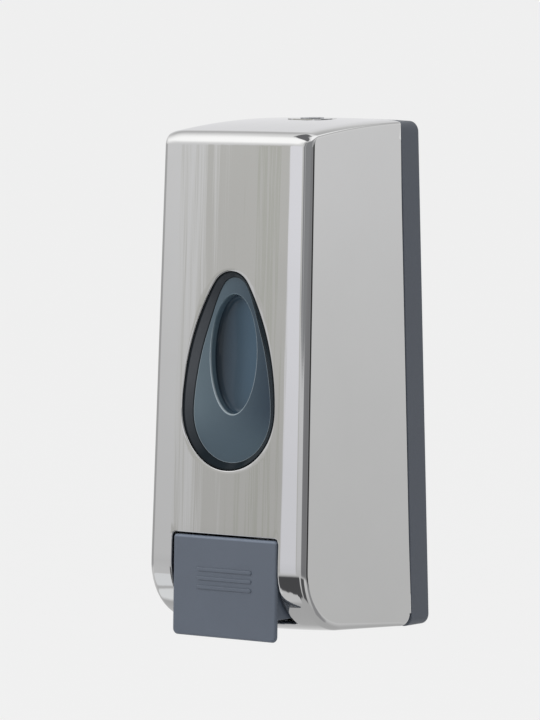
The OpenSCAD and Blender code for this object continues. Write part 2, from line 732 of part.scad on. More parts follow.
module cam_screw() color(steel_color) difference() {
    head = cam_z[0] - bracket_head_h;
    union() {
        rod_z([head, cam_z[0]], 0, lock_y, bracket_head_r);
        rod_z([head + over, cam_z[1] + cam_thread - run_gap], 0, lock_y, cam_screw_r);
    }
    block([-1, 1] * recess_half_len, about(lock_y, recess_half_w), about(head, recess_depth));
}

// Push button: a plate with grip ribs, side cheeks, pivot hubs and a pusher
module button_pin() color(steel_color) rod_x([-1, 1] * pivot_ear_x[1], pivot_y, pivot_z, pivot_r);

module push_button() color(grey_color) {
    x = button_w / 2;
    y = button_h / 2;
    back = button_face(pump_z) + button_t;
    difference() {
        union() {
            on_button() {
                slab([0, button_t]) polygon(rounded(box_outline([-x, x], [-y, y]), button_radii));
                for (i = [0:rib_count - 1]) translate([0, rib_mid + (i - (rib_count - 1) / 2) * rib_pitch, 0])
                    slab([-rib_rise, button_t / 2]) {
                        square([rib_w - rib_h, rib_h], center = true);
                        for (s = [-1, 1]) translate([s * (rib_w - rib_h) / 2, 0]) circle(rib_h / 2);
                    }
            }
            both_sides() {
                along_x(cheek_x) polygon([[button_face(button_top) + button_t / 2, button_top - cheek_drop],
                    [button_face(cheek_bottom) + button_t / 2, cheek_bottom], [cheek_back, cheek_bottom],
                    [cheek_back, pivot_z - 2 * hub_r], [pivot_y + hub_r, button_top - cheek_drop]]);
                rod_x([hub_x, cheek_x[1]], pivot_y, pivot_z, hub_r);
                block([hub_x, cheek_x[1]], [button_face(pivot_z) + button_t / 2, pivot_y],
                    about(pivot_z, hub_r));
            }
            rod_y([back - button_t / 2, bumper_back], 0, pump_z, pusher_r);
        }
        rod_x([-1, 1] * body_w, pivot_y, pivot_z, pivot_r + run_gap);
    }
}

module button_bumper() color(rubber_color) intersection() {
    translate([0, bumper_tip - bumper_dome_r, pump_z]) sphere(bumper_dome_r);
    rod_y([bumper_back, bumper_tip + over], 0, pump_z, bumper_r);
}

back_plate();
pump_bracket();
bracket_screws();
reservoir();
reservoir_lid();
lid_gasket();
neck_gasket();
neck_nut();
pump_cylinder();
inlet_seal();
valve_plate();
inlet_valve();
cylinder_cap();
piston_retainer();
pump_spring();
outlet_nozzle();
duckbill_valve();
hinge_pins();
front_cover();
window_lens();
window_gasket();
lens_screws();
button_pin();
lock_bezel();
lock_nut();
lock_barrel();
lock_cam();
cam_screw();
push_button();
button_bumper();
pump_piston();
piston_seal();
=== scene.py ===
import json
import math

import bmesh
import bpy
import numpy as np
from bpy.props import FloatProperty, FloatVectorProperty, IntProperty, PointerProperty
from mathutils import Matrix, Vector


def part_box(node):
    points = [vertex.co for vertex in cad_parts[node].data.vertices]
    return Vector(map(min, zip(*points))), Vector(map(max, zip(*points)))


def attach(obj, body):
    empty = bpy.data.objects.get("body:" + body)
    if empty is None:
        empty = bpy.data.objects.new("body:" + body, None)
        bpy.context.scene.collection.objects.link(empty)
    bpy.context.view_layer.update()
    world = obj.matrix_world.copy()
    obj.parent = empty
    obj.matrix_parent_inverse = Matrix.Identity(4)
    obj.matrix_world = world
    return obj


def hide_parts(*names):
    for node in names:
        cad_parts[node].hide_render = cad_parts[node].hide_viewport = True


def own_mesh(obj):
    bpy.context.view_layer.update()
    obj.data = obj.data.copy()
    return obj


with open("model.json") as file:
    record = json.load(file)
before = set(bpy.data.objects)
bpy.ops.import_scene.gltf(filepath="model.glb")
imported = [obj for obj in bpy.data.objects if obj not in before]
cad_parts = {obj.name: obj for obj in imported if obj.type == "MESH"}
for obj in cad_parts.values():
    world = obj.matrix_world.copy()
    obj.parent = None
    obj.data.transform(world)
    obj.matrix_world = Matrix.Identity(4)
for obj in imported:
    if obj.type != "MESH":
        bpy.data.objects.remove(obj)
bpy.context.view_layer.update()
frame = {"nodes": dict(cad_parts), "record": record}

bl_info = {
    "name": "Soap Dispenser",
    "version": (1, 0, 0),
    "blender": (4, 5, 0),
    "location": "View3D > Sidebar > Dispenser",
    "description": "Dresses the packed wall soap dispenser with its outer pieces and its finishes",
    "category": "Object",
}

MM = 0.001


# Sizes and colours

def length(name, description, millimetres):
    """A length in metres, given here in millimetres."""
    return FloatProperty(name=name, description=description, default=millimetres * MM, unit="LENGTH")


def bearing(name, description, degrees):
    """An angle in radians, given here in degrees."""
    return FloatProperty(name=name, description=description, default=math.radians(degrees), subtype="ANGLE")


def slope(name, description, value):
    """A plain ratio of rise to run."""
    return FloatProperty(name=name, description=description, default=value, precision=4)


def tint(name, description, colour):
    """A colour in linear light."""
    return FloatVectorProperty(name=name, description=description, default=colour, subtype="COLOR",
                               min=0, max=1)


class DispenserBody(bpy.types.PropertyGroup):
    """Sizes of the cover and the back plate."""
    width: length("Width", "Width of the cover at mid height", 100)
    height: length("Height", "Height of the cover at the back plate", 258)
    depth: length("Depth", "Wall to front face at mid height", 94)
    plate: length("Plate depth", "Depth of the back plate", 14.2)
    seam: length("Seam", "Gap between the back plate and the cover", 0.4)
    wall: length("Wall", "Wall thickness of the cover", 2.2)
    taper: slope("Side taper", "Narrowing of each side per unit of height", 0.0123)
    lean: slope("Front lean", "Backward lean of the front per unit of height", 0.062)
    fall: slope("Top fall", "Fall of the top towards the front per unit of depth", 0.080)
    rise: slope("Bottom rise", "Rise of the underside towards the front per unit of depth", 0.081)
    brow: length("Brow radius", "Radius where the front turns into the top", 8)
    sweep: length("Sweep radius", "Radius where the front turns into the underside", 31)
    hinge: length("Hinge radius", "Radius of the lower back corner round the hinge", 6.5)
    corner: length("Corner radius", "Radius of the upright front corners", 4.5)
    lead: bearing("Lead-in", "Turn of each face before its tight corner", 4.2)
    top_lead: bearing("Top lead-in", "Turn of the top before its side edges", 25)
    crown: length("Front crown", "Radius of the slight crown across the front", 4000)
    top_crown: length("Top crown", "Radius of the crown across the top", 1300)
    under_crown: length("Underside crown", "Radius of the crown across the underside", 720)
    front_lift: length("Front lift", "How far the middle of the front stands out of its corners' plane", 0.45)
    under_lift: length("Underside lift", "How far the middle of the underside hangs below its edges", 2.3)
    rim: length("Rim round", "Rounding of the cover's cut edges", 1.0)
    plate_corner: length("Plate corner", "Corner radius of the back plate's outline", 5.6)
    plate_back: length("Plate back edge", "Rounding of the back plate's wall edge", 0.6)
    plate_drop: length("Plate drop", "Fall of the back plate's top edge from its middle to its corners", 1.9)


class DispenserWindow(bpy.types.PropertyGroup):
    """Sizes of the teardrop window."""
    low: length("Low radius", "Radius of the round lower end", 30.4)
    low_at: length("Low height", "Height of the centre of the lower end", -14.8)
    side: length("Side radius", "Radius of the long sides", 115)
    nose: length("Nose radius", "Radius of the nose", 13.5)
    bevel: length("Bevel", "Width of the bevel at the window's sides", 5.9)
    bevel_depth: length("Bevel depth", "Depth of the bevel round the window", 3.4)
    dish_width: length("Dish width", "Half width of the oval dish", 15.2)
    dish_height: length("Dish height", "Half height of the oval dish", 30.1)
    dish_at: length("Dish centre", "Height of the centre of the oval dish", 13.2)
    dish_depth: length("Dish depth", "Depth of the oval dish below the flat", 5.4)


class DispenserButton(bpy.types.PropertyGroup):
    """Sizes of the push button."""
    width: length("Width", "Width of the button", 68.2)
    height: length("Height", "Height of the button", 51)
    top: length("Top", "Height of the button's upper edge", -78.4)
    thick: length("Thickness", "Thickness of the button plate", 2)
    gap: length("Gap", "Gap between the button and the cover", 0.9)
    edge: length("Edge round", "Rounding of the button's front edges", 1.3)
    ribs: IntProperty(name="Ribs", description="Number of grip ribs", default=3, min=0, max=5)


class DispenserFinish(bpy.types.PropertyGroup):
    """Colours of the finishes."""
    chrome: tint("Chrome", "Bright plate of the cover", (0.62, 0.62, 0.62))
    grey: tint("Grey plastic", "Back plate and nozzle", (0.074, 0.0865, 0.110))
    button: tint("Button plastic", "Push button", (0.098, 0.117, 0.150))
    # The window's colours hold painted light and shade: the flat and the rim are painted lighter on the near
    # side and darker on the far side, the dish darker on the near side and lighter on the far side, and the
    # flat has its low colour towards its lower end.
    smoke_near: tint("Smoke, near", "Flat of the window on the lit side", (0.086, 0.128, 0.157))
    smoke_far: tint("Smoke, far", "Flat of the window on the other side", (0.010, 0.028, 0.052))
    smoke_low: tint("Smoke, low", "Flat of the window towards its lower end", (0.043, 0.074, 0.101))
    rim_near: tint("Rim, near", "Thick rim of the window on the lit side", (0.075, 0.080, 0.089))
    rim_far: tint("Rim, far", "Thick rim of the window on the other side", (0.010, 0.015, 0.019))
    dish_near: tint("Dish, near", "Dish of the window on the lit side", (0.010, 0.018, 0.027))
    dish_far: tint("Dish, far", "Dish of the window on the other side", (0.050, 0.092, 0.135))
    # A painted highlight along the edge of the dish.
    dish_edge_highlight: tint("Smoke edge", "Light gathered in the edge of the dish", (0.36, 0.42, 0.46))
    white: tint("White plastic", "Pump and bracket", (0.78, 0.78, 0.765))
    tank: tint("Tank plastic", "Milky tank", (0.70, 0.73, 0.70))
    rubber: tint("Rubber", "Seals and bumper", (0.014, 0.014, 0.015))
    silicone: tint("Silicone", "Soft valves", (0.70, 0.66, 0.59))
    steel: tint("Steel", "Pins, screws, spring and lock", (0.50, 0.51, 0.53))


# Meshes from whole arrays

MERGE_WITHIN = 1e-6
SLIVER = 1e-7
EDGE_SEGMENTS = 3
FLAT_FACE_WEIGHT = 60
SLAB_STEPS = 4


def add_object(name, data):
    """A new object in the scene, at the origin."""
    thing = bpy.data.objects.new(name, data)
    bpy.context.scene.collection.objects.link(thing)
    return thing


class Skin:
    """The points and faces of one mesh, gathered from whole arrays."""

    def __init__(self):
        self.points = []
        self.faces = []
        self.tints = []
        self.count = 0

    def grid(self, points, wrap=False, keep=None, tints=None):
        """Adds a grid of points [row, column]; seen from outside, rows run down and columns run right.
        With wrap the last column joins the first. keep marks the cells that stay, and tints holds a
        colour for each point."""
        rows, columns = points.shape[:2]
        index = np.arange(rows * columns).reshape(rows, columns)
        if wrap:
            index = np.concatenate([index, index[:, :1]], axis=1)
        cells = np.stack([index[:-1, :-1], index[1:, :-1], index[1:, 1:], index[:-1, 1:]], axis=-1)
        cells = cells[keep] if keep is not None else cells.reshape(-1, 4)
        self.points.append(points.reshape(-1, 3))
        self.faces.extend((cells + self.count).tolist())
        self.count += rows * columns
        if tints is not None:
            self.tints.append(tints.reshape(-1, 4))

    def rings(self, rings):
        """Adds closed rings [station, point] as one skin, with a flat cap on the first and the last ring."""
        self.grid(rings, wrap=True)
        count = rings.shape[1]
        first = self.count - rings.shape[0] * count
        self.faces.append(list(range(first, first + count)))
        self.faces.append(list(range(self.count - 1, self.count - count - 1, -1)))

    def pair(self, rings):
        """Adds closed rings and their mirror image on the other side of the middle plane."""
        self.rings(rings)
        self.rings(rings * np.array([-1, 1, 1]))

    def piece(self, name, material, body, slot, closed=True):
        """Makes the mesh object at the origin, merges its seams, and gives it its finish and its body."""
        mesh = bpy.data.meshes.new(name)
        mesh.from_pydata(np.concatenate(self.points).tolist(), [], self.faces)
        if self.tints:
            layer = mesh.attributes.new("smoke", "FLOAT_COLOR", "POINT")
            layer.data.foreach_set("color", np.concatenate(self.tints).astype(np.float32).ravel())
        work = bmesh.new()
        work.from_mesh(mesh)
        bmesh.ops.remove_doubles(work, verts=work.verts, dist=MERGE_WITHIN)
        bmesh.ops.dissolve_degenerate(work, edges=work.edges, dist=SLIVER)
        if closed:
            bmesh.ops.recalc_face_normals(work, faces=work.faces)
        work.to_mesh(mesh)
        work.free()
        mesh.shade_smooth()
        mesh.materials.append(material)
        piece = add_object(name, mesh)
        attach(piece, body)
        return piece


def mark_rims(mesh, share):
    """Weights for the bevel: an edge with a single face gets the share of its middle point, others none."""
    count = len(mesh.edges)
    ends = np.empty(2 * count, np.int32)
    places = np.empty(3 * len(mesh.vertices), np.float32)
    used = np.empty(len(mesh.loops), np.int32)
    mesh.edges.foreach_get("vertices", ends)
    mesh.vertices.foreach_get("co", places)
    mesh.loops.foreach_get("edge_index", used)
    middles = places.reshape(-1, 3)[ends.reshape(-1, 2)].mean(axis=1)
    weights = (np.bincount(used, minlength=count) == 1) * share(middles)
    layer = mesh.attributes.new("bevel_weight_edge", "FLOAT", "EDGE")
    layer.data.foreach_set("value", weights.astype(np.float32))


def finish_edges(piece, wall=0.0, width=0.0):
    """Gives a sheet its wall, rounds the edges that carry a weight, and keeps flat faces flat in the
    shading."""
    if wall:
        solid = piece.modifiers.new("wall", "SOLIDIFY")
        solid.thickness = wall
        solid.offset = -1
        solid.use_even_offset = True
    if width:
        bevel = piece.modifiers.new("edges", "BEVEL")
        bevel.width = width
        bevel.segments = EDGE_SEGMENTS
        bevel.limit_method = "WEIGHT"
        bevel.use_clamp_overlap = False
    weighted = piece.modifiers.new("shading", "WEIGHTED_NORMAL")
    weighted.weight = FLAT_FACE_WEIGHT
    weighted.keep_sharp = True


def arc(centre, radius, start, end, cells):
    """Points of an arc in a plane, from one angle to another, in radians."""
    turn = np.linspace(start, end, cells + 1)
    return np.asarray(centre) + radius * np.stack([np.cos(turn), np.sin(turn)], axis=-1)


def rounded_outline(corners, radii, cells=8):
    """A convex outline with each corner rounded: the arc's centre lies on the corner's bisector,
    radius over the sine of half the corner's angle away from it."""
    corners = np.asarray(corners, float)
    before = np.roll(corners, 1, axis=0) - corners
    after = np.roll(corners, -1, axis=0) - corners
    before /= np.linalg.norm(before, axis=1, keepdims=True)
    after /= np.linalg.norm(after, axis=1, keepdims=True)
    half = np.arccos(np.clip(np.sum(before * after, axis=1), -1, 1)) / 2
    middle = before + after
    middle /= np.linalg.norm(middle, axis=1, keepdims=True)
    radii = np.broadcast_to(np.asarray(radii, float), half.shape)
    centre = corners + middle * (radii / np.sin(half))[:, None]
    spoke = corners + before * (radii / np.tan(half))[:, None] - centre
    start = np.arctan2(spoke[:, 1], spoke[:, 0])
    turned = before[:, 0] * after[:, 1] - before[:, 1] * after[:, 0]
    sweep = -np.sign(turned) * (math.pi - 2 * half)
    angle = start[:, None] + sweep[:, None] * np.linspace(0, 1, cells + 1)
    spokes = np.stack([np.cos(angle), np.sin(angle)], axis=-1)
    return (centre[:, None] + radii[:, None, None] * spokes).reshape(-1, 2)


def moved_in(outline, distance):
    """The outline moved inwards: each point goes along the mean of its two edges' normals."""
    run = np.roll(outline, -1, axis=0) - outline
    run /= np.linalg.norm(run, axis=1, keepdims=True) + 1e-15
    area = np.sum(outline[:, 0] * np.roll(outline[:, 1], -1) - outline[:, 1] * np.roll(outline[:, 0], -1))
    normal = np.sign(area) * np.stack([-run[:, 1], run[:, 0]], axis=-1)
    mean = normal + np.roll(normal, 1, axis=0)
    mean /= np.maximum(np.sum(mean * mean, axis=1, keepdims=True), 1e-9) / 2
    return outline + distance * mean


def stacked_rings(outline, inset, level, place):
    """Rings of an outline moved inwards by each inset, each at its own level. place turns (u, v, level)
    arrays into points."""
    flat = np.stack([moved_in(outline, step) for step in inset])
    return place(flat[..., 0], flat[..., 1], np.broadcast_to(level[:, None], flat.shape[:2]))


def slab_rings(outline, low, high, edge, place):
    """Rings of a flat slab between two levels, with both edges rounded by a quarter turn."""
    turn = np.linspace(0, math.pi / 2, SLAB_STEPS)
    inset = np.concatenate([edge * (1 - np.sin(turn)), edge * (1 - np.cos(turn))])
    level = np.concatenate([low + edge * (1 - np.cos(turn)), high - edge * (1 - np.sin(turn))])
    return stacked_rings(outline, inset, level, place)


def circle(radius, cells=40, centre=(0, 0)):
    """A closed circle of points in a plane."""
    return arc(centre, radius, 0, 2 * math.pi, cells)[:-1]


def along_x(u, v, level):
    """Places (y, z) outlines at levels of x."""
    return np.stack([level, u, v], axis=-1)


def along_y(u, v, level):
    """Places (x, z) outlines at levels of y."""
    return np.stack([u, level, v], axis=-1)


def along_z(u, v, level):
    """Places (x, y) outlines at levels of z."""
    return np.stack([u, v, level], axis=-1)


def box_outline(u, v):
    """The four corners of a rectangle between two pairs of limits."""
    return np.array([[u[0], v[0]], [u[1], v[0]], [u[1], v[1]], [u[0], v[1]]], float)


# Body lines

def half_width(body, z):
    """Half the cover's width at a height."""
    return body.width / 2 - body.taper * z


def front_frame(body):
    """The front face's origin, its upward direction and its outward direction, as (y, z)."""
    up = np.array([body.lean, 1]) / math.hypot(1, body.lean)
    return np.array([-body.depth, 0]), up, np.array([-up[1], up[0]])


def on_front(body, x, up, depth):
    """Points at x, a distance up the front face and a depth behind it, following the face's crown."""
    origin, run, out = front_frame(body)
    sunk = depth + x * x / (2 * body.crown) - body.front_lift
    side = origin + up[..., None] * run - sunk[..., None] * out
    return np.concatenate([x[..., None], side], axis=-1)


def corner_turn(before, corner, after, radius):
    """Centre and the two tangent points of an arc that rounds a corner."""
    u = (before - corner) / np.linalg.norm(before - corner)
    v = (after - corner) / np.linalg.norm(after - corner)
    half = math.acos(np.clip(u @ v, -1, 1)) / 2
    reach = radius / math.tan(half)
    middle = (u + v) / np.linalg.norm(u + v)
    return corner + middle * radius / math.sin(half), corner + u * reach, corner + v * reach


# Holes through the cover: the place along its depth, the radius and half the block of cells round each
LOCK_AT, LOCK_HOLE, LOCK_REACH = -26 * MM, 7.05 * MM, 10.5 * MM
SPOUT_AT, SPOUT_HOLE, SPOUT_REACH = -58 * MM, 8.5 * MM, 12 * MM
HOLE_POINTS = 160
# The button's cut-out, and how far its upper corners move in, as shares of the cells next to them
CUT_BACK = -83.5 * MM
CUT_TOP_GAP = 1.0 * MM
CUT_CORNER = (0.33, 0.22)
# The window's block of cells up the front, and the middle that its spokes run from
WINDOW_BLOCK = (-58 * MM, 68 * MM)
WINDOW_MIDDLE = 10 * MM
# The hinge's notches, lugs and ears, and the axis of the button's pin
NOTCH_FRONT = -24.7 * MM
NOTCH_CELLS = 3
LUG_X = (30 * MM, 36 * MM)
EAR_X = (36.6 * MM, 40.6 * MM)
LUG_R = 4.2 * MM
PIVOT = (-92 * MM, -84 * MM)
# Cells across the middle strip, half of a small hole's block, round each corner and along each side
STRIP_CELLS = 32
SMALL_CELLS = 6
CORNER_CELLS = 11
FAN_CELLS = 8
# Stations down the cover: the top's rear, the brow, the front's upper and lower end, the underside's front,
# the hinge notches and the end. Each has its share of the corner radius and its power of the lead-in.
CORNER_SHARES = (0.28, 0.4, 1, 1, 0.9, 0.5, 0.14)
LEAD_POWERS = (4, 4, 2, 2, 2, 2, 2)
LEAD_STEPS = (0.08, *np.linspace(0.16, 1, 10))
REAR_LEAD = 0.65
BROW_CROWN = 0.35
NOTCH_CROWN = 0.5
NOTCH_LIFT = 0.3
HEEL_RISE = 3


def straight(start, end):
    """A straight run: its points and its outward normal at shares of the way."""
    way = (end - start) / np.linalg.norm(end - start)

    def run(share):
        points = start + (end - start) * share[:, None]
        return points, np.broadcast_to([way[1], -way[0]], points.shape)

    return run


def around(centre, start, end):
    """A run round an arc, the short way, from one point to another."""
    first, last = (math.atan2(*(point - centre)[::-1]) for point in (start, end))
    turn = (last - first + math.pi) % (2 * math.pi) - math.pi
    radius = np.linalg.norm(start - centre)

    def run(share):
        angle = first + turn * share
        normals = np.stack([np.cos(angle), np.sin(angle)], axis=-1)
        return centre + radius * normals, normals

    return run


def bowed(height, back, bow, start, end):
    """A run along the top: level at the back, falling with the square of the distance from it."""

    def run(share):
        away = back - (start + (end - start) * share)
        normals = np.stack([-2 * bow * away, np.ones_like(away)], axis=-1)
        normals /= np.linalg.norm(normals, axis=1, keepdims=True)
        return np.stack([back - away, height - bow * away ** 2], axis=-1), normals

    return run


def cover_profile(body, button):
    """The cover's side profile, from the rear of the top over the brow, down the front, round the sweep
    and under to the hinge. Returns the (y, z) points, their outward normals, and the first and last row
    of each run by name."""
    half = body.height / 2
    back = -body.plate - body.seam
    room = body.depth - body.plate
    bow = body.fall / room
    front = lambda z: np.array([-body.depth + body.lean * z, z])
    under = lambda y: np.array([y, -half - body.rise * (y + body.plate)])
    reach = room - body.brow
    steep = 2 * bow * reach
    shoulder = half - bow * reach ** 2 - steep * (back - reach)
    high = front((shoulder - steep * body.depth) / (1 - steep * body.lean))
    low = front((-half + body.rise * room) / (1 + body.rise * body.lean))
    heel = under(back)
    brow, brow_in, brow_out = corner_turn(high + np.array([1, steep]), high, low, body.brow)
    sweep, sweep_in, sweep_out = corner_turn(high, low, heel, body.sweep)
    hinge, hinge_in, hinge_out = corner_turn(low, heel, heel + np.array([0, half]), body.hinge)
    origin, up, _ = front_frame(body)
    cut = np.array([CUT_BACK, sweep[1] - math.sqrt(body.sweep ** 2 - (CUT_BACK - sweep[0]) ** 2)])
    top = lambda start, end: bowed(half, back, bow, start, end)
    window_in, window_out = origin + WINDOW_BLOCK[1] * up, origin + WINDOW_BLOCK[0] * up
    cut_in = front(button.top + CUT_TOP_GAP)
    spout_in, spout_out = under(SPOUT_AT - SPOUT_REACH), under(SPOUT_AT + SPOUT_REACH)
    notch = under(NOTCH_FRONT)
    runs = {
        "rear": (top(back, LOCK_AT + LOCK_REACH), 1),
        "lock": (top(LOCK_AT + LOCK_REACH, LOCK_AT - LOCK_REACH), 12),
        "top": (top(LOCK_AT - LOCK_REACH, brow_in[0]), 12),
        "brow": (around(brow, brow_in, brow_out), 14),
        "forehead": (straight(brow_out, window_in), 8),
        "window": (straight(window_in, window_out), 32),
        "chin": (straight(window_out, cut_in), 4),
        "cut_front": (straight(cut_in, sweep_in), 5),
        "cut_sweep": (around(sweep, sweep_in, cut), 9),
        "sweep": (around(sweep, cut, sweep_out), 10),
        "under_front": (straight(sweep_out, spout_in), 1),
        "spout": (straight(spout_in, spout_out), 12),
        "under": (straight(spout_out, notch), 6),
        "notch_flat": (straight(notch, hinge_in), 2),
        "notch_turn": (around(hinge, hinge_in, hinge_out), 8),
    }
    points, normals, marks = [], [], {}
    row = 0
    for name, (run, cells) in runs.items():
        step, normal = run(np.linspace(0, 1, cells + 1))
        points.append(step[min(row, 1):])
        normals.append(normal[min(row, 1):])
        marks[name] = (row, row + cells)
        row += cells
    return np.concatenate(points), np.concatenate(normals), marks


def cover_columns(body, button, points, normals, marks):
    """Points of the cover's skin [row, column], the columns on each side, and the curvature of each row's
    crown. Across a row the middle strip has a slight crown; beyond it the slope grows with a power of the
    way to the lead-in's turn, a tight arc takes the skin round the corner, and straight lines lead along
    the flat side to the rear edge."""
    y, z = points.T
    travel = np.concatenate([[0], np.cumsum(np.linalg.norm(np.diff(points, axis=0), axis=1))])
    at = lambda name: travel[marks[name][0]]
    stops = [0, at("brow"), at("forehead"), at("cut_sweep"), at("under_front"), at("notch_flat"), travel[-1]]
    along = lambda *values: np.interp(travel, stops, values)[:, None]
    radius = body.corner * along(*CORNER_SHARES)
    lean_in = along(REAR_LEAD * body.top_lead, body.top_lead, *[body.lead] * 5)
    top, front, under = 1 / body.top_crown, 1 / body.crown, 1 / body.under_crown
    crown = along(top, BROW_CROWN * top, front, front, under, NOTCH_CROWN * under, 0)
    lift = along(0, 0, body.front_lift, body.front_lift, body.under_lift, NOTCH_LIFT * body.under_lift, 0)
    width = half_width(body, z)[:, None]
    cut = button.width / 2 + button.gap
    strip = np.linspace(-cut, cut, STRIP_CELLS + 1)
    tight = width - radius * (1 - np.sin(lean_in))
    power = along(*LEAD_POWERS)
    share = np.array(LEAD_STEPS)
    lead = cut + (tight - cut) * share
    bend = (np.tan(lean_in) - tight * crown) * (tight - cut) / power
    lead_depth = lead ** 2 * crown / 2 + bend * share ** power
    angle = lean_in + (math.pi / 2 - lean_in) * np.linspace(0, 1, CORNER_CELLS + 1)[1:]
    round_x = tight + radius * (np.sin(angle) - np.sin(lean_in))
    round_depth = lead_depth[:, -1:] + radius * (np.cos(lean_in) - np.cos(angle))
    side_x = np.concatenate([lead, round_x], axis=1)
    side_depth = np.concatenate([lead_depth, round_depth], axis=1) - lift
    sink = normals.copy()
    sink[0] = (0, 1)
    side_x = side_x + body.taper * side_depth * sink[:, 1:]
    place = lambda x, depth: np.stack(np.broadcast_arrays(x, y[:, None] - depth * sink[:, :1],
                                                          z[:, None] - depth * sink[:, 1:]), axis=-1)
    side = place(side_x, side_depth)
    last = side[:, -1]
    back = -body.plate - body.seam
    end = points[-1, 1]
    rear_z = np.interp(travel, [0, at("notch_turn"), travel[-2], travel[-1]],
                       [last[0, 2], end + HEEL_RISE * body.hinge, end + body.hinge, end])[:, None]
    t = np.linspace(0, 1, FAN_CELLS + 1)[1:]
    fan_y = last[:, 1:2] + (back - last[:, 1:2]) * t
    fan_z = last[:, 2:3] + (rear_z - last[:, 2:3]) * t
    fan = np.stack([half_width(body, fan_z), fan_y, fan_z], axis=-1)
    right = np.concatenate([side, fan], axis=1)
    left = right[:, ::-1] * np.array([-1, 1, 1])
    middle = place(strip, strip ** 2 * crown / 2 - lift)
    return np.concatenate([left, middle, right], axis=1), right.shape[1], crown[:, 0]


def hole_patch(skin, points, rows, columns, crown, outline, centre, cells=7):
    """Fills a block of the grid round a hole: straight spokes run from each point on the block's border
    to the point of the outline in the same direction from the centre. The outline and the centre are
    given across the block, as (x, distance along the rows)."""
    (r0, r1), (c0, c1) = rows, columns
    border = np.concatenate([points[r0, c0:c1], points[r0:r1, c1],
                             points[r1, c1:c0:-1], points[r1:r0:-1, c0]])
    start, end = points[[r0, r1], (c0 + c1) // 2]
    along = (end - start) / np.linalg.norm(end - start)
    flat = np.stack([border[:, 0], (border - start) @ along], axis=-1)
    spoke = flat - centre
    hole = outline_at(outline, centre, np.arctan2(spoke[:, 1], spoke[:, 0]))
    t = np.linspace(0, 1, cells + 1)[:, None]
    shift = t[..., None] * (hole - flat)
    out = np.cross(along, [1, 0, 0])
    x = flat[:, 0] + shift[..., 0]
    sunk = (x ** 2 - flat[:, 0] ** 2) * crown[(r0 + r1) // 2] / 2
    step = border + shift[..., 0:1] * np.array([1, 0, 0]) + shift[..., 1:2] * along
    skin.grid(step - sunk[..., None] * out, wrap=True)


def outline_at(outline, centre, angles):
    """The points of a closed outline in given directions from a centre, by its radius against angle."""
    spoke = outline - centre
    angle = np.arctan2(spoke[:, 1], spoke[:, 0])
    reach = np.hypot(spoke[:, 0], spoke[:, 1])
    order = np.argsort(angle)
    reach = np.interp(angles, angle[order], reach[order], period=2 * math.pi)
    return centre + np.stack([reach * np.cos(angles), reach * np.sin(angles)], axis=-1)


def drop_outline(window, inset, cells=160):
    """The teardrop moved inwards: a half circle below, two long arcs and a small arc at the nose,
    tangent where they meet, all about the same centres."""
    shift = window.side - window.low
    nose_at = window.low_at + math.sqrt((window.side - window.nose) ** 2 - shift ** 2)
    turn = math.atan2(nose_at - window.low_at, shift)
    arcs = [
        arc((0, window.low_at), window.low - inset, -math.pi, 0, cells),
        arc((-shift, window.low_at), window.side - inset, 0, turn, cells),
        arc((0, nose_at), window.nose - inset, turn, math.pi - turn, cells),
        arc((shift, window.low_at), window.side - inset, math.pi - turn, math.pi, cells),
    ]
    return np.concatenate([piece[:-1] for piece in arcs])


# Shares of the rim's rounding, where the upright rear edges lie and fade, and where the holes lie
REAR_ROUND = 0.7
REAR_SPAN = (-112 * MM, 118 * MM)
REAR_FADE = 25 * MM
REAR_X = 45 * MM
HOLE_ROUND = 0.6
HOLE_LOWEST = -122 * MM
HOLE_MARGIN = 1 * MM


def rim_share(body, cut, middles):
    """How far each rim is rounded: most along the upright rear edges, fading towards their ends, and
    less round the window, the cut-out and the small holes."""
    x, y, z = middles.T
    low, high = REAR_SPAN
    rear = REAR_ROUND * np.clip(np.minimum(high - z, z - low) / REAR_FADE, 0, 1)
    holes = (np.abs(x) < cut + HOLE_MARGIN) & (y < -body.plate - HOLE_MARGIN) & (z > HOLE_LOWEST)
    return np.where(np.abs(x) > REAR_X, rear, HOLE_ROUND * holes)


def build_cover(body, window, button, material):
    """The cover's skin with its window, cut-out, holes and notches, given its wall and round rims."""
    points, normals, marks = cover_profile(body, button)
    grid, sides, crown = cover_columns(body, button, points, normals, marks)
    cut_width = button.width / 2 + button.gap
    keep = np.ones((grid.shape[0] - 1, grid.shape[1] - 1), bool)
    middle = sides + STRIP_CELLS // 2
    strip = (sides, sides + STRIP_CELLS)
    for name in ("window", "cut_front", "cut_sweep"):
        keep[slice(*marks[name]), slice(*strip)] = False
    small = (middle - SMALL_CELLS, middle + SMALL_CELLS)
    for name in ("lock", "spout"):
        keep[slice(*marks[name]), slice(*small)] = False
    notch = slice(marks["notch_flat"][0], None)
    keep[notch, strip[1] - NOTCH_CELLS:strip[1] + 1] = False
    keep[notch, strip[0] - 1:strip[0] + NOTCH_CELLS] = False
    cut = marks["cut_front"][0]
    across, down = CUT_CORNER
    for column, step in ((strip[0], 1), (strip[1], -1)):
        corner, beside, below = grid[[cut, cut, cut + 1], [column, column + step, column]]
        grid[cut, column] = corner + across * (beside - corner) + down * (below - corner)
    skin = Skin()
    skin.grid(grid, keep=keep)
    drop = drop_outline(window, 0) * [1, -1] + [0, WINDOW_BLOCK[1]]
    centre = np.array([0, WINDOW_BLOCK[1] - WINDOW_MIDDLE])
    hole_patch(skin, grid, marks["window"], strip, crown, drop, centre)
    for name, radius, reach in (("lock", LOCK_HOLE, LOCK_REACH), ("spout", SPOUT_HOLE, SPOUT_REACH)):
        centre = np.array([0, reach])
        hole_patch(skin, grid, marks[name], small, crown, circle(radius, HOLE_POINTS, centre), centre, 4)
    cover = skin.piece("front_cover_shell", material, "cover", "chrome_shell", closed=False)
    mark_rims(cover.data, lambda middles: rim_share(body, cut_width, middles))
    finish_edges(cover, wall=body.wall, width=body.rim)
    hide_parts("front_cover")


# The round edges of ears, lugs and rests
EAR_EDGE = 0.4 * MM
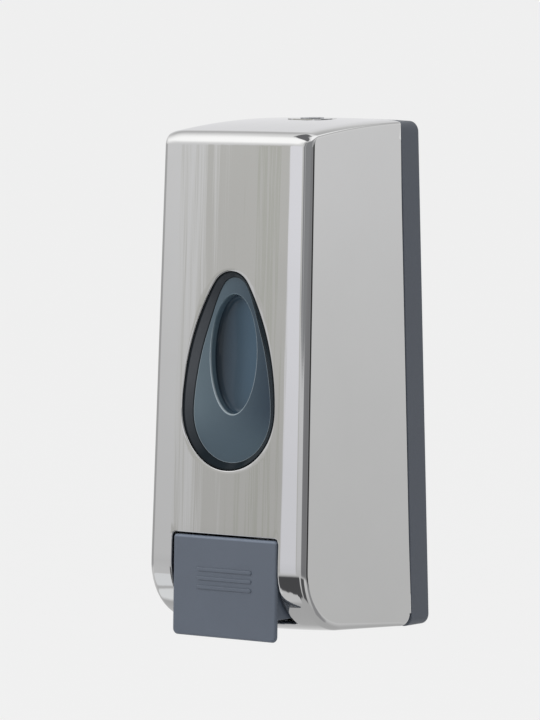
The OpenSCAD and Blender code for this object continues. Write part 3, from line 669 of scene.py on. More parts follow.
# The ears of the button's pin: their span, reach behind the pin, half height and corners
PIN_EAR_X = (36.5 * MM, 40 * MM)
PIN_EAR_BACK = 4 * MM
PIN_EAR_HALF = 5 * MM
PIN_EAR_ROUND = (0.3 * MM, 2.5 * MM, 2.5 * MM, 0.3 * MM)
# The window's screw bosses: two directions on each side, the way out from the opening, radius and edge.
# They end level with the back of the lens.
BOSS_TURNS = (math.radians(-40), math.radians(19))
BOSS_OUT = 7.2 * MM
BOSS_RADIUS = 2.8 * MM
BOSS_EDGE = 0.2 * MM
LENS_BACK = 5.5 * MM


def build_cover_fittings(body, window, material):
    """The hinge ears, pin ears and screw bosses inside the cover, each a slab with round edges."""
    skin = Skin()
    hinge_y, hinge_z = hinge_axis()
    wall_y = -body.depth + body.lean * PIVOT[1] + body.wall / 2
    ear = np.concatenate([arc((hinge_y, hinge_z), LUG_R, -math.pi / 2, math.pi, 24),
                          [[hinge_y - LUG_R, hinge_z - LUG_R]]])
    block = box_outline((wall_y, PIVOT[0] + PIN_EAR_BACK), (PIVOT[1] - PIN_EAR_HALF, PIVOT[1] + PIN_EAR_HALF))
    for outline, span in ((ear, EAR_X), (rounded_outline(block, PIN_EAR_ROUND), PIN_EAR_X)):
        skin.pair(slab_rings(outline, *span, EAR_EDGE, along_x))
    place = lambda u, v, level: on_front(body, u, v, level)
    arcs = ((0, window.low), (window.low - window.side, window.side))
    for turn, (centre_x, reach) in zip(BOSS_TURNS, arcs):
        way = np.array([math.cos(turn), math.sin(turn)])
        at = np.array([centre_x, window.low_at]) + (reach + BOSS_OUT) * way
        boss = circle(BOSS_RADIUS, 32, at)
        skin.pair(slab_rings(boss, body.wall / 2, LENS_BACK, BOSS_EDGE, place))
    finish_edges(skin.piece("cover_fittings", material, "cover", "chrome_shell"))


def hinge_axis():
    """Where the cover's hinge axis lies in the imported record, as (y, z)."""
    joints = {joint["name"]: joint for joint in frame["record"]["behaviour"]["joints"]}
    return joints["cover_hinge"]["pos_m"][1:]


# The lens: the clamped flange's reach and front, the plug's gap, edge and sink in the opening, the bow and
# the steps of the bevel, the lip of the dish, the wall behind it and the points round each ring
FLANGE_REACH = 4 * MM
FLANGE_FRONT = 3 * MM
PLUG_GAP = 0.2 * MM
PLUG_EDGE = 0.6 * MM
PLUG_SINK = 0.3 * MM
BEVEL_BOW = 0.9
BEVEL_STEPS = (0.08, 0.16, 0.5, 0.84, 0.94, 0.985)
DISH_LIP = 0.45 * MM
DISH_WALL = 1.6 * MM
LENS_POINTS = 192
# How much the bevel narrows at the nose and at the foot, and the powers of the direction's rise there
NOSE_NARROW = (0.48, 10)
FOOT_NARROW = (0.34, 2.5)
# The painted highlight line along the bevel's inner edge: its two rings, the start of the flat, and its share
# of the painted highlight
LINE_STEPS = (0.05 * MM, 0.2 * MM)
LINE_END = 0.35 * MM
LINE_HIGHLIGHT = 0.45
# The dish's side: insets and distances from its brink and its floor, then the turn into a bowed floor
SIDE_HIGH = (0.25 * MM, 1.1 * MM)
SIDE_LOW = (0.55 * MM, 2.4 * MM)
TURN_START = 0.6 * MM
TURN_IN = 2.4 * MM
TURN_DOWN = 2 * MM
FLOOR_BOW = 0.5 * MM
BACK_ROUND = 0.3 * MM
# Painted light and shade of the lens, by the way across and up in half widths: how fast the flat turns to its
# lower colour, the start and growth of the rim's and the dish's blend between painted light and painted
# shade, the painted highlight in the dish's edge on both sides, and the painted shade in the groove
LOW_FADE = 0.6
RIM_START, RIM_ACROSS, RIM_UP, RIM_TOP = 0.95, 0.75, 0.6, 0.5
DISH_START, DISH_ACROSS = 0.62, 0.72
HIGHLIGHT_DOWN, HIGHLIGHT_LEFT = 0.75, 0.55
HIGHLIGHT_RIGHT, HIGHLIGHT_LATE = 0.7, 0.2
GROOVE_PAINTED_SHADE = 0.5
# Gloss of the rim, its growth towards the right and its loss below, and what the dish loses
RIM_GLOSS, RIM_GLOSS_RIGHT, RIM_GLOSS_LOW = 0.05, 0.06, 0.85
DISH_DULLER = 0.5


def blend(share, first, second):
    """Colours between two, by an array of shares that is cut off at none and all."""
    share = np.clip(share, 0, 1)[..., None]
    return (1 - share) * np.array(first) + share * np.array(second)


def window_tints(window, finish, points, kinds):
    """Colours of the lens, with painted light and shade: the flat is painted lighter on the left and darker
    on the right, the dish darker on the left and lighter on the right, the rim darkens with painted shade
    towards the lower right, the flat turns to its low colour below, and the dish's edge carries a painted
    highlight at the lower left and on the right.
    kinds holds for each ring its shares of rim, dish, edge and the groove's painted shade; the rest is flat.
    The fourth value is the gloss."""
    x, up = points[..., 0], points[..., 1]
    out_x = x / window.low
    out_up = (up - window.low_at) / window.low
    low = np.clip(-out_up / LOW_FADE, 0, 1)[..., None]
    # Painted light and shade: the flat is lighter on the left and darker on the right.
    flat = blend(0.5 + x / (2 * (window.low - window.bevel)), finish.smoke_near, finish.smoke_far)
    flat = (1 - low) * flat + low * np.array(finish.smoke_low)
    # Painted shade: the rim darkens towards the lower right.
    rim_turn = RIM_START + RIM_ACROSS * out_x - RIM_UP * np.minimum(out_up, RIM_TOP)
    rim = blend(rim_turn, finish.rim_near, finish.rim_far)
    dish_x = x / window.dish_width
    dish_up = (up - window.dish_at) / window.dish_height
    # Painted shade in the dish's hollow on the left, painted light on its right.
    dish = blend(DISH_START + DISH_ACROSS * dish_x, finish.dish_near, finish.dish_far)
    # Painted highlight in the dish's edge, at the lower left and on the right.
    painted_highlight = np.maximum(-HIGHLIGHT_DOWN * dish_up - HIGHLIGHT_LEFT * dish_x, HIGHLIGHT_RIGHT * dish_x - HIGHLIGHT_LATE)
    edge = blend(painted_highlight, finish.smoke_near, finish.dish_edge_highlight)
    shares = np.asarray(kinds, float)[:, None, :]
    colour = flat * (1 - shares.sum(axis=-1, keepdims=True))
    for index, tone in enumerate((rim, dish, edge, GROOVE_PAINTED_SHADE * np.array(finish.rim_far))):
        colour = colour + tone * shares[..., index:index + 1]
    rim_gloss = RIM_GLOSS + RIM_GLOSS_RIGHT * np.maximum(out_x, 0)[..., None]
    rim_gloss = rim_gloss * (1 - RIM_GLOSS_LOW * low)
    gloss = 1 + (rim_gloss - 1) * (shares[..., :1] + shares[..., 3:]) - DISH_DULLER * shares[..., 1:2]
    return np.concatenate([colour, gloss], axis=-1)


def build_window(body, window, finish, material):
    """The lens: closed outlines at growing depth, from the clamped flange over the plug, the round rim
    and the bevel to the flat, then from teardrop to oval, down the dish and back behind it."""
    centre = np.array([0, WINDOW_MIDDLE])
    angles = np.linspace(0, 2 * math.pi, LENS_POINTS + 1)[:-1]
    rise = np.sin(angles)
    narrow = 1.0
    for way, (share, power) in ((rise, NOSE_NARROW), (-rise, FOOT_NARROW)):
        narrow = narrow - share * np.maximum(way, 0) ** power
    drop = lambda inset: outline_at(drop_outline(window, inset), centre, angles)
    opening = drop(0)
    slant = lambda inset: opening + (drop(inset) - opening) * narrow[:, None]
    middle = np.array([0, window.dish_at])
    size = np.array([window.dish_width, window.dish_height])
    round_unit = circle(1, 720)
    oval = lambda grow: outline_at(middle + (size + grow) * round_unit, centre, angles)
    flat = window.bevel_depth
    floor = flat + window.dish_depth
    hollow = floor + DISH_WALL
    quarter = np.linspace(0, math.pi / 2, 5)
    falling, growing = 1 - np.sin(quarter), 1 - np.cos(quarter)
    rim, plain, dish, edge, dark = np.eye(5, 4)[[0, 4, 1, 2, 3]]
    flange, start = drop(-FLANGE_REACH), PLUG_GAP + PLUG_EDGE
    # The rings round the plug carry painted shade in its groove.
    rings = [(flange, LENS_BACK, rim), (flange, FLANGE_FRONT, rim), (drop(PLUG_GAP), FLANGE_FRONT, dark)]
    rings += [(drop(PLUG_GAP + PLUG_EDGE * b), PLUG_SINK + PLUG_EDGE * a, dark)
              for a, b in zip(falling, growing)]
    sloped = lambda t: PLUG_SINK + (flat - PLUG_SINK) * t ** BEVEL_BOW
    # The bevel's first and last steps carry painted shade where it meets the groove and the flat.
    rings += [(slant(start + (window.bevel - start) * t), sloped(t), kind)
              for t, kind in zip(BEVEL_STEPS, (dark, rim, rim, rim, dark, dark))]
    # A thin painted highlight line along the bevel's inner edge.
    rings += [(slant(window.bevel + step), flat, LINE_HIGHLIGHT * edge) for step in LINE_STEPS]
    outer, brink = slant(window.bevel + LINE_END), oval(DISH_LIP)
    rings += [(outer + (brink - outer) * t, flat, plain) for t in (0, 0.3, 0.6, 0.9, 0.985)]
    # The dish's lip carries the painted highlight.
    rings += [(oval(DISH_LIP * a), flat + DISH_LIP * b, edge) for a, b in zip(falling, growing)]
    rings += [(oval(-SIDE_HIGH[0]), flat + SIDE_HIGH[1], plain),
              (oval(-SIDE_LOW[0]), floor - SIDE_LOW[1], plain)]
    rings += [(oval(-TURN_START - TURN_IN * b), floor - TURN_DOWN * a, dish)
              for a, b in zip(falling, growing)]
    basin, behind = oval(-TURN_START - TURN_IN), oval(DISH_WALL)
    rings += [(middle + (basin - middle) * t, floor + FLOOR_BOW * (1 - t * t), dish)
              for t in (0.85, 0.6, 0.3, 0)]
    rings += [(middle + (behind - middle) * t, hollow, rim) for t in (0, 0.5, 0.97, 1)]
    rings += [(behind, hollow - BACK_ROUND, rim), (behind, LENS_BACK, rim)]
    rings += [(behind + (flange - behind) * t, LENS_BACK, rim) for t in (0.05, 0.5, 0.98, 1)]
    outlines = np.stack([ring for ring, _, _ in rings])
    depth = np.array([level for _, level, _ in rings])[:, None]
    tints = window_tints(window, finish, outlines, [kind for _, _, kind in rings])
    skin = Skin()
    skin.grid(on_front(body, outlines[..., 0], outlines[..., 1], depth), wrap=True, tints=tints)
    lens = skin.piece("window_lens_moulding", material, "cover", "smoked_window")
    finish_edges(lens)
    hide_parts("window_lens")


# The button's lean, its stand out of the cover, its corners and its back edge
BUTTON_LEAN = 0.043
BUTTON_SET = -0.2 * MM
BUTTON_CORNERS = np.array([3, 3, 2, 2]) * MM
BUTTON_BACK_EDGE = 0.4 * MM
# The grip ribs: their height above the plate's middle, their spacing, half length and half width, the round
# of their ends, their levels and the round of their edges
RIB_AT, RIB_SPACING = 4 * MM, 4.5 * MM
RIB_HALF_LENGTH, RIB_HALF_WIDTH, RIB_END = 18 * MM, 1 * MM, 0.98 * MM
RIB_LEVELS, RIB_EDGE = (-0.6 * MM, 0.9 * MM), 0.45 * MM
# The cheeks, hubs and necks behind the plate, with their spans across, and the pusher
CHEEK_LOW, CHEEK_BACK, CHEEK_BELOW_TOP = -118.2 * MM, -84.5 * MM, 2 * MM
CHEEK_STEP, CHEEK_TOP_BACK = 8 * MM, 4 * MM
CHEEK_CORNERS = np.array([0.4, 0.4, 3, 1.2, 1.2]) * MM
CHEEK_X, HUB_X, NECK_X = (30.7 * MM, 33.5 * MM), (27 * MM, 34.3 * MM), (27 * MM, 33.4 * MM)
HUB_RADIUS, NECK_HALF, HUB_EDGE = 4 * MM, 3.9 * MM, 0.3 * MM
PUSHER_RADIUS, PUSHER_EDGE = 5 * MM, 0.25 * MM


def button_frame(body, button):
    """The button plate's middle on its front face, its upward and its outward direction, as (y, z)."""
    middle_z = button.top - button.height / 2
    top_y = -body.depth + body.lean * button.top + BUTTON_SET
    middle = np.array([top_y - BUTTON_LEAN * button.height / 2, middle_z])
    up = np.array([BUTTON_LEAN, 1]) / math.hypot(1, BUTTON_LEAN)
    return middle, up, np.array([-up[1], up[0]])


def build_button(body, button, material):
    """The push button: a plate with round edges, low grip ribs, two cheeks, two hubs and a pusher."""
    middle, up, out = button_frame(body, button)

    def place(u, v, level):
        side = middle + v[..., None] * up - level[..., None] * out
        return np.concatenate([u[..., None], side], axis=-1)

    skin = Skin()
    half_w, half_h = button.width / 2, button.height / 2
    plate = rounded_outline(box_outline((-half_w, half_w), (-half_h, half_h)), BUTTON_CORNERS)
    turn = np.linspace(0, math.pi / 2, 6)
    falling, growing = 1 - np.sin(turn), 1 - np.cos(turn)
    inset = np.concatenate([button.edge * falling, BUTTON_BACK_EDGE * growing])
    level = np.concatenate([button.edge * growing, button.thick - BUTTON_BACK_EDGE * falling])
    skin.rings(stacked_rings(plate, inset, level, place))
    for index in range(button.ribs):
        at = RIB_AT + (index - (button.ribs - 1) / 2) * RIB_SPACING
        bar = box_outline((-RIB_HALF_LENGTH, RIB_HALF_LENGTH), (at - RIB_HALF_WIDTH, at + RIB_HALF_WIDTH))
        skin.rings(slab_rings(rounded_outline(bar, RIB_END), *RIB_LEVELS, RIB_EDGE, place))
    face = lambda z: middle[0] + BUTTON_LEAN * (z - middle[1]) + button.thick / 2
    low, high = CHEEK_LOW, button.top - CHEEK_BELOW_TOP
    corners = [[face(high), high], [face(low), low], [CHEEK_BACK, low], [CHEEK_BACK, PIVOT[1] - CHEEK_STEP],
               [PIVOT[0] + CHEEK_TOP_BACK, high]]
    cheek = rounded_outline(corners, CHEEK_CORNERS, 6)
    hub = circle(HUB_RADIUS, 40, PIVOT)
    neck = box_outline((face(PIVOT[1]), PIVOT[0]), (PIVOT[1] - NECK_HALF, PIVOT[1] + NECK_HALF))
    for outline, span in ((cheek, CHEEK_X), (hub, HUB_X), (neck, NECK_X)):
        skin.pair(slab_rings(outline, *span, HUB_EDGE, along_x))
    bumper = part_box("button_bumper")
    axis_z = (bumper[0][2] + bumper[1][2]) / 2
    pusher = circle(PUSHER_RADIUS, 40, (0, axis_z))
    skin.rings(slab_rings(pusher, face(axis_z), bumper[0][1], PUSHER_EDGE, along_y))
    piece = skin.piece("push_button_moulding", material, "button", "button_plastic")
    finish_edges(piece)
    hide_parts("push_button")


# The tray's wall and floor, and the rounds of its rim and of its floor's edge
TRAY_WALL, TRAY_FLOOR = 2.5 * MM, 3 * MM
TRAY_RIM, TRAY_FILLET = 0.5 * MM, 0.8 * MM
# What the bow of the plate's top edge leaves free at each end, in corner radii
TOP_BOW_ENDS = 1.6
# The wall screws' places, holes and pads, and the drill's levels
SCREW_X, SCREW_Z, SCREW_HOLE = 28 * MM, 95 * MM, 2.5 * MM
PAD_RADIUS, PAD_RISE, PAD_EDGE = 7 * MM, 1.5 * MM, 0.4 * MM
DRILL_LEVELS, DRILL_EDGE = (-10 * MM, 5 * MM), 0.1 * MM
# The rests for the tank, and the catch for the lock's hook: an arm with a post under it
REST_FRONT, REST_Z, REST_X = -18.5 * MM, (68 * MM, 72 * MM), (23 * MM, 27 * MM)
ARM_HALF, ARM_FRONT, ARM_Z = 5 * MM, -19.5 * MM, (116 * MM, 118 * MM)
POST_AT, POST_RADIUS, POST_Z = -17.5 * MM, 1.5 * MM, (110.5 * MM, 117 * MM)
CATCH_EDGE = 0.3 * MM


def build_plate(body, material):
    """The back plate: a tray whose outline is carried from its floor up the inside, over the rim, down
    the outside and round the wall edge, with pads, lugs, rests and the catch, and bored for the screws."""
    half = body.height / 2
    low, high = half_width(body, -half), half_width(body, half)
    shoulder = half - body.plate_drop
    outline = [[-low, -half], [low, -half], [high, shoulder], [0, half], [-high, shoulder]]
    corner = body.plate_corner
    crown = (high - TOP_BOW_ENDS * corner) * high / body.plate_drop
    outer = rounded_outline(outline, [corner, corner, corner, crown, corner], 12)
    turn = np.linspace(0, math.pi / 2, 5)
    falling, growing = 1 - np.sin(turn), 1 - np.cos(turn)
    rim, root = -body.plate, -TRAY_FLOOR / 2
    inset = np.concatenate([TRAY_WALL + TRAY_FILLET * falling, TRAY_WALL - TRAY_RIM * growing,
                            TRAY_RIM * falling, body.plate_back * growing])
    level = np.concatenate([-TRAY_FLOOR - TRAY_FILLET * growing, rim + TRAY_RIM * falling,
                            rim + TRAY_RIM * growing, -body.plate_back * falling])
    skin = Skin()
    skin.rings(stacked_rings(outer, inset, level, along_y))
    holes = Skin()
    for at in ((x, z) for x in (-SCREW_X, SCREW_X) for z in (-SCREW_Z, SCREW_Z)):
        pad = circle(PAD_RADIUS, 48, at)
        skin.rings(slab_rings(pad, -TRAY_FLOOR - PAD_RISE, root, PAD_EDGE, along_y))
        holes.rings(slab_rings(circle(SCREW_HOLE, 32, at), *DRILL_LEVELS, DRILL_EDGE, along_y))
    hinge_y, hinge_z = hinge_axis()
    lug = np.concatenate([arc((hinge_y, hinge_z), LUG_R, math.pi / 2, 3 * math.pi / 2, 24),
                          [[root, hinge_z - LUG_R], [root, hinge_z + LUG_R]]])
    for shape, span in ((lug, LUG_X), (box_outline((REST_FRONT, root), REST_Z), REST_X)):
        skin.pair(slab_rings(shape, *span, EAR_EDGE, along_x))
    arm = box_outline((-ARM_HALF, ARM_HALF), (ARM_FRONT, root))
    for shape, span in ((arm, ARM_Z), (circle(POST_RADIUS, 24, (0, POST_AT)), POST_Z)):
        skin.rings(slab_rings(shape, *span, CATCH_EDGE, along_z))
    plate = skin.piece("back_plate_moulding", material, "base", "grey_plastic")
    drill = holes.piece("screw_drill", material, "base", "grey_plastic")
    bore = plate.modifiers.new("screw holes", "BOOLEAN")
    bore.operation = "DIFFERENCE"
    bore.solver = "EXACT"
    bore.use_self = True
    bore.object = drill
    graph = bpy.context.evaluated_depsgraph_get()
    plate.data = bpy.data.meshes.new_from_object(plate.evaluated_get(graph))
    plate.modifiers.clear()
    bpy.data.objects.remove(drill)
    finish_edges(plate)
    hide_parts("back_plate")


# The spring's turns, the radius of its wire, the piston's stroke, and the cells round a turn and the wire
SPRING_TURNS = 5
SPRING_WIRE = 0.6 * MM
TURN_CELLS = 30
WIRE_CELLS = 12


def build_spring(material):
    """The pump spring: a round wire along a helix, its section square to the winding, closed at both ends."""
    low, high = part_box("pump_spring")
    radius = (high[0] - low[0]) / 2 - SPRING_WIRE
    ends = low[1] + SPRING_WIRE, high[1] - SPRING_WIRE
    angle = np.linspace(0, 2 * math.pi * SPRING_TURNS, TURN_CELLS * SPRING_TURNS + 1)
    pitch = (ends[1] - ends[0]) / angle[-1]
    none = np.zeros_like(angle)
    out = np.stack([np.cos(angle), none, np.sin(angle)], axis=-1)
    run = np.stack([-radius * np.sin(angle), none + pitch, radius * np.cos(angle)], axis=-1)
    side = np.cross(run / np.linalg.norm(run, axis=1, keepdims=True), out)
    axis_z = (low[2] + high[2]) / 2
    centre = radius * out + np.stack([none, ends[0] + pitch * angle, none + axis_z], axis=-1)
    turn = np.linspace(0, 2 * math.pi, WIRE_CELLS + 1)[:-1, None]
    skin = Skin()
    skin.rings(centre[:, None] + SPRING_WIRE * (np.cos(turn) * out[:, None] + np.sin(turn) * side[:, None]))
    coil = skin.piece("pump_spring_coil", material, "base", "steel")
    finish_edges(coil)
    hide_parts("pump_spring")
    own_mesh(coil)


# Finishes

class Wire:
    """A shader socket in an expression. Each operator on values adds a Math node; node() adds any other."""

    def __init__(self, tree, socket=None):
        self.tree = tree
        self.socket = socket

    def node(self, kind, settings=None, inputs=None, out=0):
        """Adds a node of a type, sets its settings, then its sockets from values or wires."""
        made = self.tree.nodes.new(kind)
        for key, value in (settings or {}).items():
            if key == "stops":
                ramp = made.color_ramp
                for place, colour in value[1:-1]:
                    ramp.elements.new(place).color = colour
                for end in (0, -1):
                    ramp.elements[end].position, ramp.elements[end].color = value[end]
            else:
                setattr(made, key, value)
        for key, value in (inputs or {}).items():
            if isinstance(value, Wire):
                self.tree.links.new(value.socket, made.inputs[key])
            else:
                made.inputs[key].default_value = value
        return Wire(self.tree, made.outputs[out] if made.outputs else None)

    def other(self, name):
        """Another output of the same node."""
        return Wire(self.tree, self.socket.node.outputs[name])

    def maths(self, operation, first, second):
        """One Math node on two values or wires."""
        return self.node("ShaderNodeMath", {"operation": operation}, {0: first, 1: second})

    def __add__(self, other):
        return self.maths("ADD", self, other)

    __radd__ = __add__

    def __sub__(self, other):
        return self.maths("SUBTRACT", self, other)

    def __rsub__(self, other):
        return self.maths("SUBTRACT", other, self)

    def __mul__(self, other):
        return self.maths("MULTIPLY", self, other)

    __rmul__ = __mul__


def shade(colour, factor):
    """A colour times a factor, with full alpha."""
    return (*(min(1.0, channel * factor) for channel in colour), 1.0)


def noise(wire, scale, detail, stretch=(1, 1, 1)):
    """Noise on the piece's own coordinates, with each axis stretched by its own factor."""
    coords = wire.node("ShaderNodeTexCoord", out=3)
    placed = wire.node("ShaderNodeMapping", {}, {"Vector": coords, "Scale": stretch})
    return wire.node("ShaderNodeTexNoise", {}, {"Vector": placed, "Scale": scale, "Detail": detail})


def mix(wire, factor, first, second):
    """A blend of two colours."""
    return wire.node("ShaderNodeMix", {"data_type": "RGBA"}, {0: factor, 6: first, 7: second}, out=2)


def soft_step(wire, value, start, end):
    """Nothing up to the start, one from the end on, and an S-shaped rise between them."""
    return wire.node("ShaderNodeMapRange", {"interpolation_type": "SMOOTHSTEP"},
                     {"Value": value, "From Min": start, "From Max": end})


def uneven(wire, factor, colour, dark, pale):
    """A colour that wavers between a darker and a paler shade of itself."""
    return mix(wire, factor, shade(colour, dark), shade(colour, pale))


def relief(wire, height, strength, distance):
    """A bump of the surface from a height."""
    return wire.node("ShaderNodeBump", {}, {"Strength": strength, "Distance": distance, "Height": height})


def new_material(name):
    """A material with an empty tree, and a wire to build on."""
    material = bpy.data.materials.new(name)
    material.use_nodes = True
    material.node_tree.nodes.clear()
    return material, Wire(material.node_tree)


def surface(wire, inputs):
    """A Principled shader joined to the output."""
    shader = wire.node("ShaderNodeBsdfPrincipled", {}, inputs)
    wire.node("ShaderNodeOutputMaterial", {}, {"Surface": shader})


def chrome_finish(colour):
    """Bright plate on moulded plastic: upright waves too low to see as shape, and faint wiping marks."""
    material, wire = new_material("chrome_plate")
    wave = noise(wire, scale=1.0, detail=2.0, stretch=(70, 30, 2))
    lines = noise(wire, scale=1.0, detail=2.0, stretch=(420, 200, 5))
    wipe = noise(wire, scale=26.0, detail=4.0)
    surface(wire, {
        "Base Color": uneven(wire, wipe, colour, dark=0.97, pale=1.03),
        "Metallic": 1.0,
        "Roughness": 0.02 + 0.04 * wipe * wipe,
        "Normal": relief(wire, wave + 0.11 * lines, strength=0.045, distance=0.002),
    })
    return material


# The painted highlight along the button's upper edge, where light from above catches its round: its height,
# its soft edge and its shade, and a height above every piece for no highlight
HIGHLIGHT_STRIP = 1.7 * MM
HIGHLIGHT_FADE = 0.5 * MM
HIGHLIGHT_PALER = 1.75
NO_HIGHLIGHT = 1.0


def moulded_finish(name, colour, gloss, grain, depth, highlight_from=NO_HIGHLIGHT):
    """Moulded plastic: a fine spark-eroded grain, slightly uneven colour and a broken-up gloss. Above a given
    height its colour is painted paler, a painted highlight along the top edge."""
    material, wire = new_material(name)
    coarse = noise(wire, scale=45.0, detail=3.0)
    fine = noise(wire, scale=grain, detail=2.0)
    place = wire.node("ShaderNodeSeparateXYZ", {}, {"Vector": wire.node("ShaderNodeTexCoord", out=3)})
    # Painted highlight: the colour turns paler above the given height.
    top_highlight = soft_step(wire, place.other("Z"), highlight_from, highlight_from + HIGHLIGHT_FADE)
    plain = uneven(wire, coarse, colour, dark=0.93, pale=1.07)
    surface(wire, {
        "Base Color": mix(wire, top_highlight * (0.7 + 0.3 * coarse), plain, shade(colour, HIGHLIGHT_PALER)),
        "Roughness": gloss + 0.14 * (coarse - 0.5) + 0.08 * (fine - 0.5),
        "Normal": relief(wire, fine, strength=depth, distance=0.0003),
    })
    return material


WIPED_SMOKE = (0.10, 0.12, 0.14, 1)


def smoked_finish():
    """Smoked clear plastic: its point colours hold its smoke tint with painted light, painted shade and
    painted highlights; glossy, with faint wiping marks.
    """
    material, wire = new_material("smoked_plastic")
    # The lens's point colours: smoke tint with painted light and shade, and its gloss in the alpha.
    smoke = wire.node("ShaderNodeAttribute", {"attribute_name": "smoke"})
    wipe = noise(wire, scale=60.0, detail=4.0)
    surface(wire, {
        "Base Color": mix(wire, 0.1 * wipe, smoke, WIPED_SMOKE),
        "Roughness": 0.12 + 0.1 * wipe,
        "IOR": 1.12,
        "Coat Weight": smoke.other("Alpha") * (0.95 + 0.1 * wipe),
        "Coat Roughness": 0.04,
    })
    return material


def milky_finish(colour):
    """Milky blown plastic: soft light inside it, faint flow lines and a waxy gloss."""
    material, wire = new_material("milky_plastic")
    flow = noise(wire, scale=1.0, detail=3.0, stretch=(40, 40, 9))
    fine = noise(wire, scale=900.0, detail=2.0)
    surface(wire, {
        "Base Color": uneven(wire, flow, colour, dark=0.93, pale=1.05),
        "Roughness": 0.3 + 0.12 * flow,
        "Subsurface Weight": 0.25,
        "Subsurface Radius": (0.004, 0.004, 0.004),
        "Normal": relief(wire, flow + 0.2 * fine, strength=0.12, distance=0.0004),
    })
    return material


def rubber_finish(name, colour, gloss):
    """Soft rubber: dull, with a dusty bloom and a fine pebble."""
    material, wire = new_material(name)
    bloom = noise(wire, scale=120.0, detail=4.0)
    pebble = noise(wire, scale=1800.0, detail=2.0)
    surface(wire, {
        "Base Color": uneven(wire, bloom, colour, dark=0.8, pale=1.35),
        "Roughness": gloss + 0.12 * (bloom - 0.5),
        "Normal": relief(wire, pebble, strength=0.2, distance=0.0002),
    })
    return material


def steel_finish(colour):
    """Plain steel: fine drawn lines across X, uneven gloss and faint tarnish."""
    material, wire = new_material("plain_steel")
    lines = noise(wire, scale=1.0, detail=3.0, stretch=(260, 2600, 2600))
    cloud = noise(wire, scale=90.0, detail=3.0)
    surface(wire, {
        "Base Color": uneven(wire, cloud, colour, dark=0.88, pale=1.08),
        "Metallic": 1.0,
        "Roughness": 0.22 + 0.16 * lines,
        "Normal": relief(wire, lines, strength=0.12, distance=0.0002),
    })
    return material


def finishes(context):
    """The material of each slot in the record, made once and kept by name."""
    if "chrome_plate" in bpy.data.materials:
        kept = bpy.data.materials
        return {slot: kept[name] for slot, name in FINISH_NAMES.items()}
    colours = context.scene.dispenser_finish
    made = (
        chrome_finish(colours.chrome),
        moulded_finish("grey_moulding", colours.grey, gloss=0.46, grain=1500.0, depth=0.16),
        # The button's upper edge gets a painted highlight.
        moulded_finish("button_moulding", colours.button, gloss=0.33, grain=1700.0, depth=0.12,
                       highlight_from=context.scene.dispenser_button.top - HIGHLIGHT_STRIP),
        smoked_finish(),
        moulded_finish("white_moulding", colours.white, gloss=0.4, grain=1300.0, depth=0.1),
        milky_finish(colours.tank),
        rubber_finish("black_rubber_skin", colours.rubber, gloss=0.62),
        rubber_finish("silicone_skin", colours.silicone, gloss=0.5),
        steel_finish(colours.steel),
    )
    return dict(zip(FINISH_NAMES, made))


FINISH_NAMES = {
    "chrome_shell": "chrome_plate",
    "grey_plastic": "grey_moulding",
    "button_plastic": "button_moulding",
    "smoked_window": "smoked_plastic",
    "white_plastic": "white_moulding",
    "tank_plastic": "milky_plastic",
    "black_rubber": "black_rubber_skin",
    "silicone": "silicone_skin",
    "steel": "plain_steel",
}


# Stage

# The camera's aim, direction and roll in degrees, its distance, and its focal length and the middle of the
# view in pixels of the frame
CAMERA_LOOK = (0, -0.045, -0.0062)
CAMERA_AZIMUTH = 40.0
CAMERA_ELEVATION = 4.7
CAMERA_DISTANCE = 2.8211
CAMERA_ROLL = 0.76
CAMERA_FOCAL = 5556.26
CAMERA_CENTRE = (291.811, 385.938)
FRAME_SIZE = (540, 720)
# The backdrop as the camera sees it, and the plain light on dull surfaces
BACKDROP = 0.863
PLAIN_LIGHT = 0.62
# The floor's height, reach and two shades, its own plain colour and the share of it that the camera sees
FLOOR_Z = -0.45
FLOOR_REACH = 150.0
FLOOR_PALE = (0.84, 0.88)
FLOOR_GLOW = 0.923
FLOOR_PLAIN_SHARE = 0.85
# Each lamp's name, place, size and power; both point at the same place on the object
LAMP_AIM = (0, -0.05, 0)
LAMPS = (("key", (-0.9, -1.6, 1.3), 1.2, 22.0), ("fill", (1.6, -0.6, 0.7), 1.4, 3.0))


def set_place(thing, right, up, back, place):
    """Puts a camera or a lamp at a place, with its own right, up and backward directions."""
    turn = np.eye(4)
    turn[:3] = np.stack([right, up, back, place], axis=-1)
    thing.matrix_world = Matrix(turn.tolist())


def build_camera():
    """A long lens on the line of sight of the photograph, with the small shift of its framing."""
    azimuth, lift, roll = (math.radians(a) for a in (CAMERA_AZIMUTH, CAMERA_ELEVATION, CAMERA_ROLL))
    right = np.array([math.cos(azimuth), math.sin(azimuth), 0])
    level = np.array([-math.sin(azimuth), math.cos(azimuth), 0])
    ahead = level * math.cos(lift) - np.array([0, 0, math.sin(lift)])
    up = np.cross(right, ahead)
    place = np.array(CAMERA_LOOK) - ahead * CAMERA_DISTANCE
    across = right * math.cos(roll) - up * math.sin(roll)
    above = up * math.cos(roll) + right * math.sin(roll)
    data = bpy.data.cameras.new("camera")
    camera = add_object("camera", data)
    set_place(camera, across, above, -ahead, place)
    data.sensor_width = 36.0
    data.lens = CAMERA_FOCAL * data.sensor_width / FRAME_SIZE[1]
    data.shift_x = (FRAME_SIZE[0] / 2 - CAMERA_CENTRE[0]) / FRAME_SIZE[1]
    data.shift_y = (CAMERA_CENTRE[1] - FRAME_SIZE[1] / 2) / FRAME_SIZE[1]
    data.clip_end = 500.0
    bpy.context.scene.camera = camera


def build_lamp(name, place, size, power):
    """A soft square lamp that points at a place on the object."""
    data = bpy.data.lights.new(name, "AREA")
    data.size = size
    data.energy = power
    lamp = add_object(name, data)
    back = np.array(place) - np.array(LAMP_AIM)
    back /= np.linalg.norm(back)
    right = np.cross([0, 0, 1], back)
    right /= np.linalg.norm(right)
    set_place(lamp, right, np.cross(back, right), back, place)
    lamp.visible_glossy = False


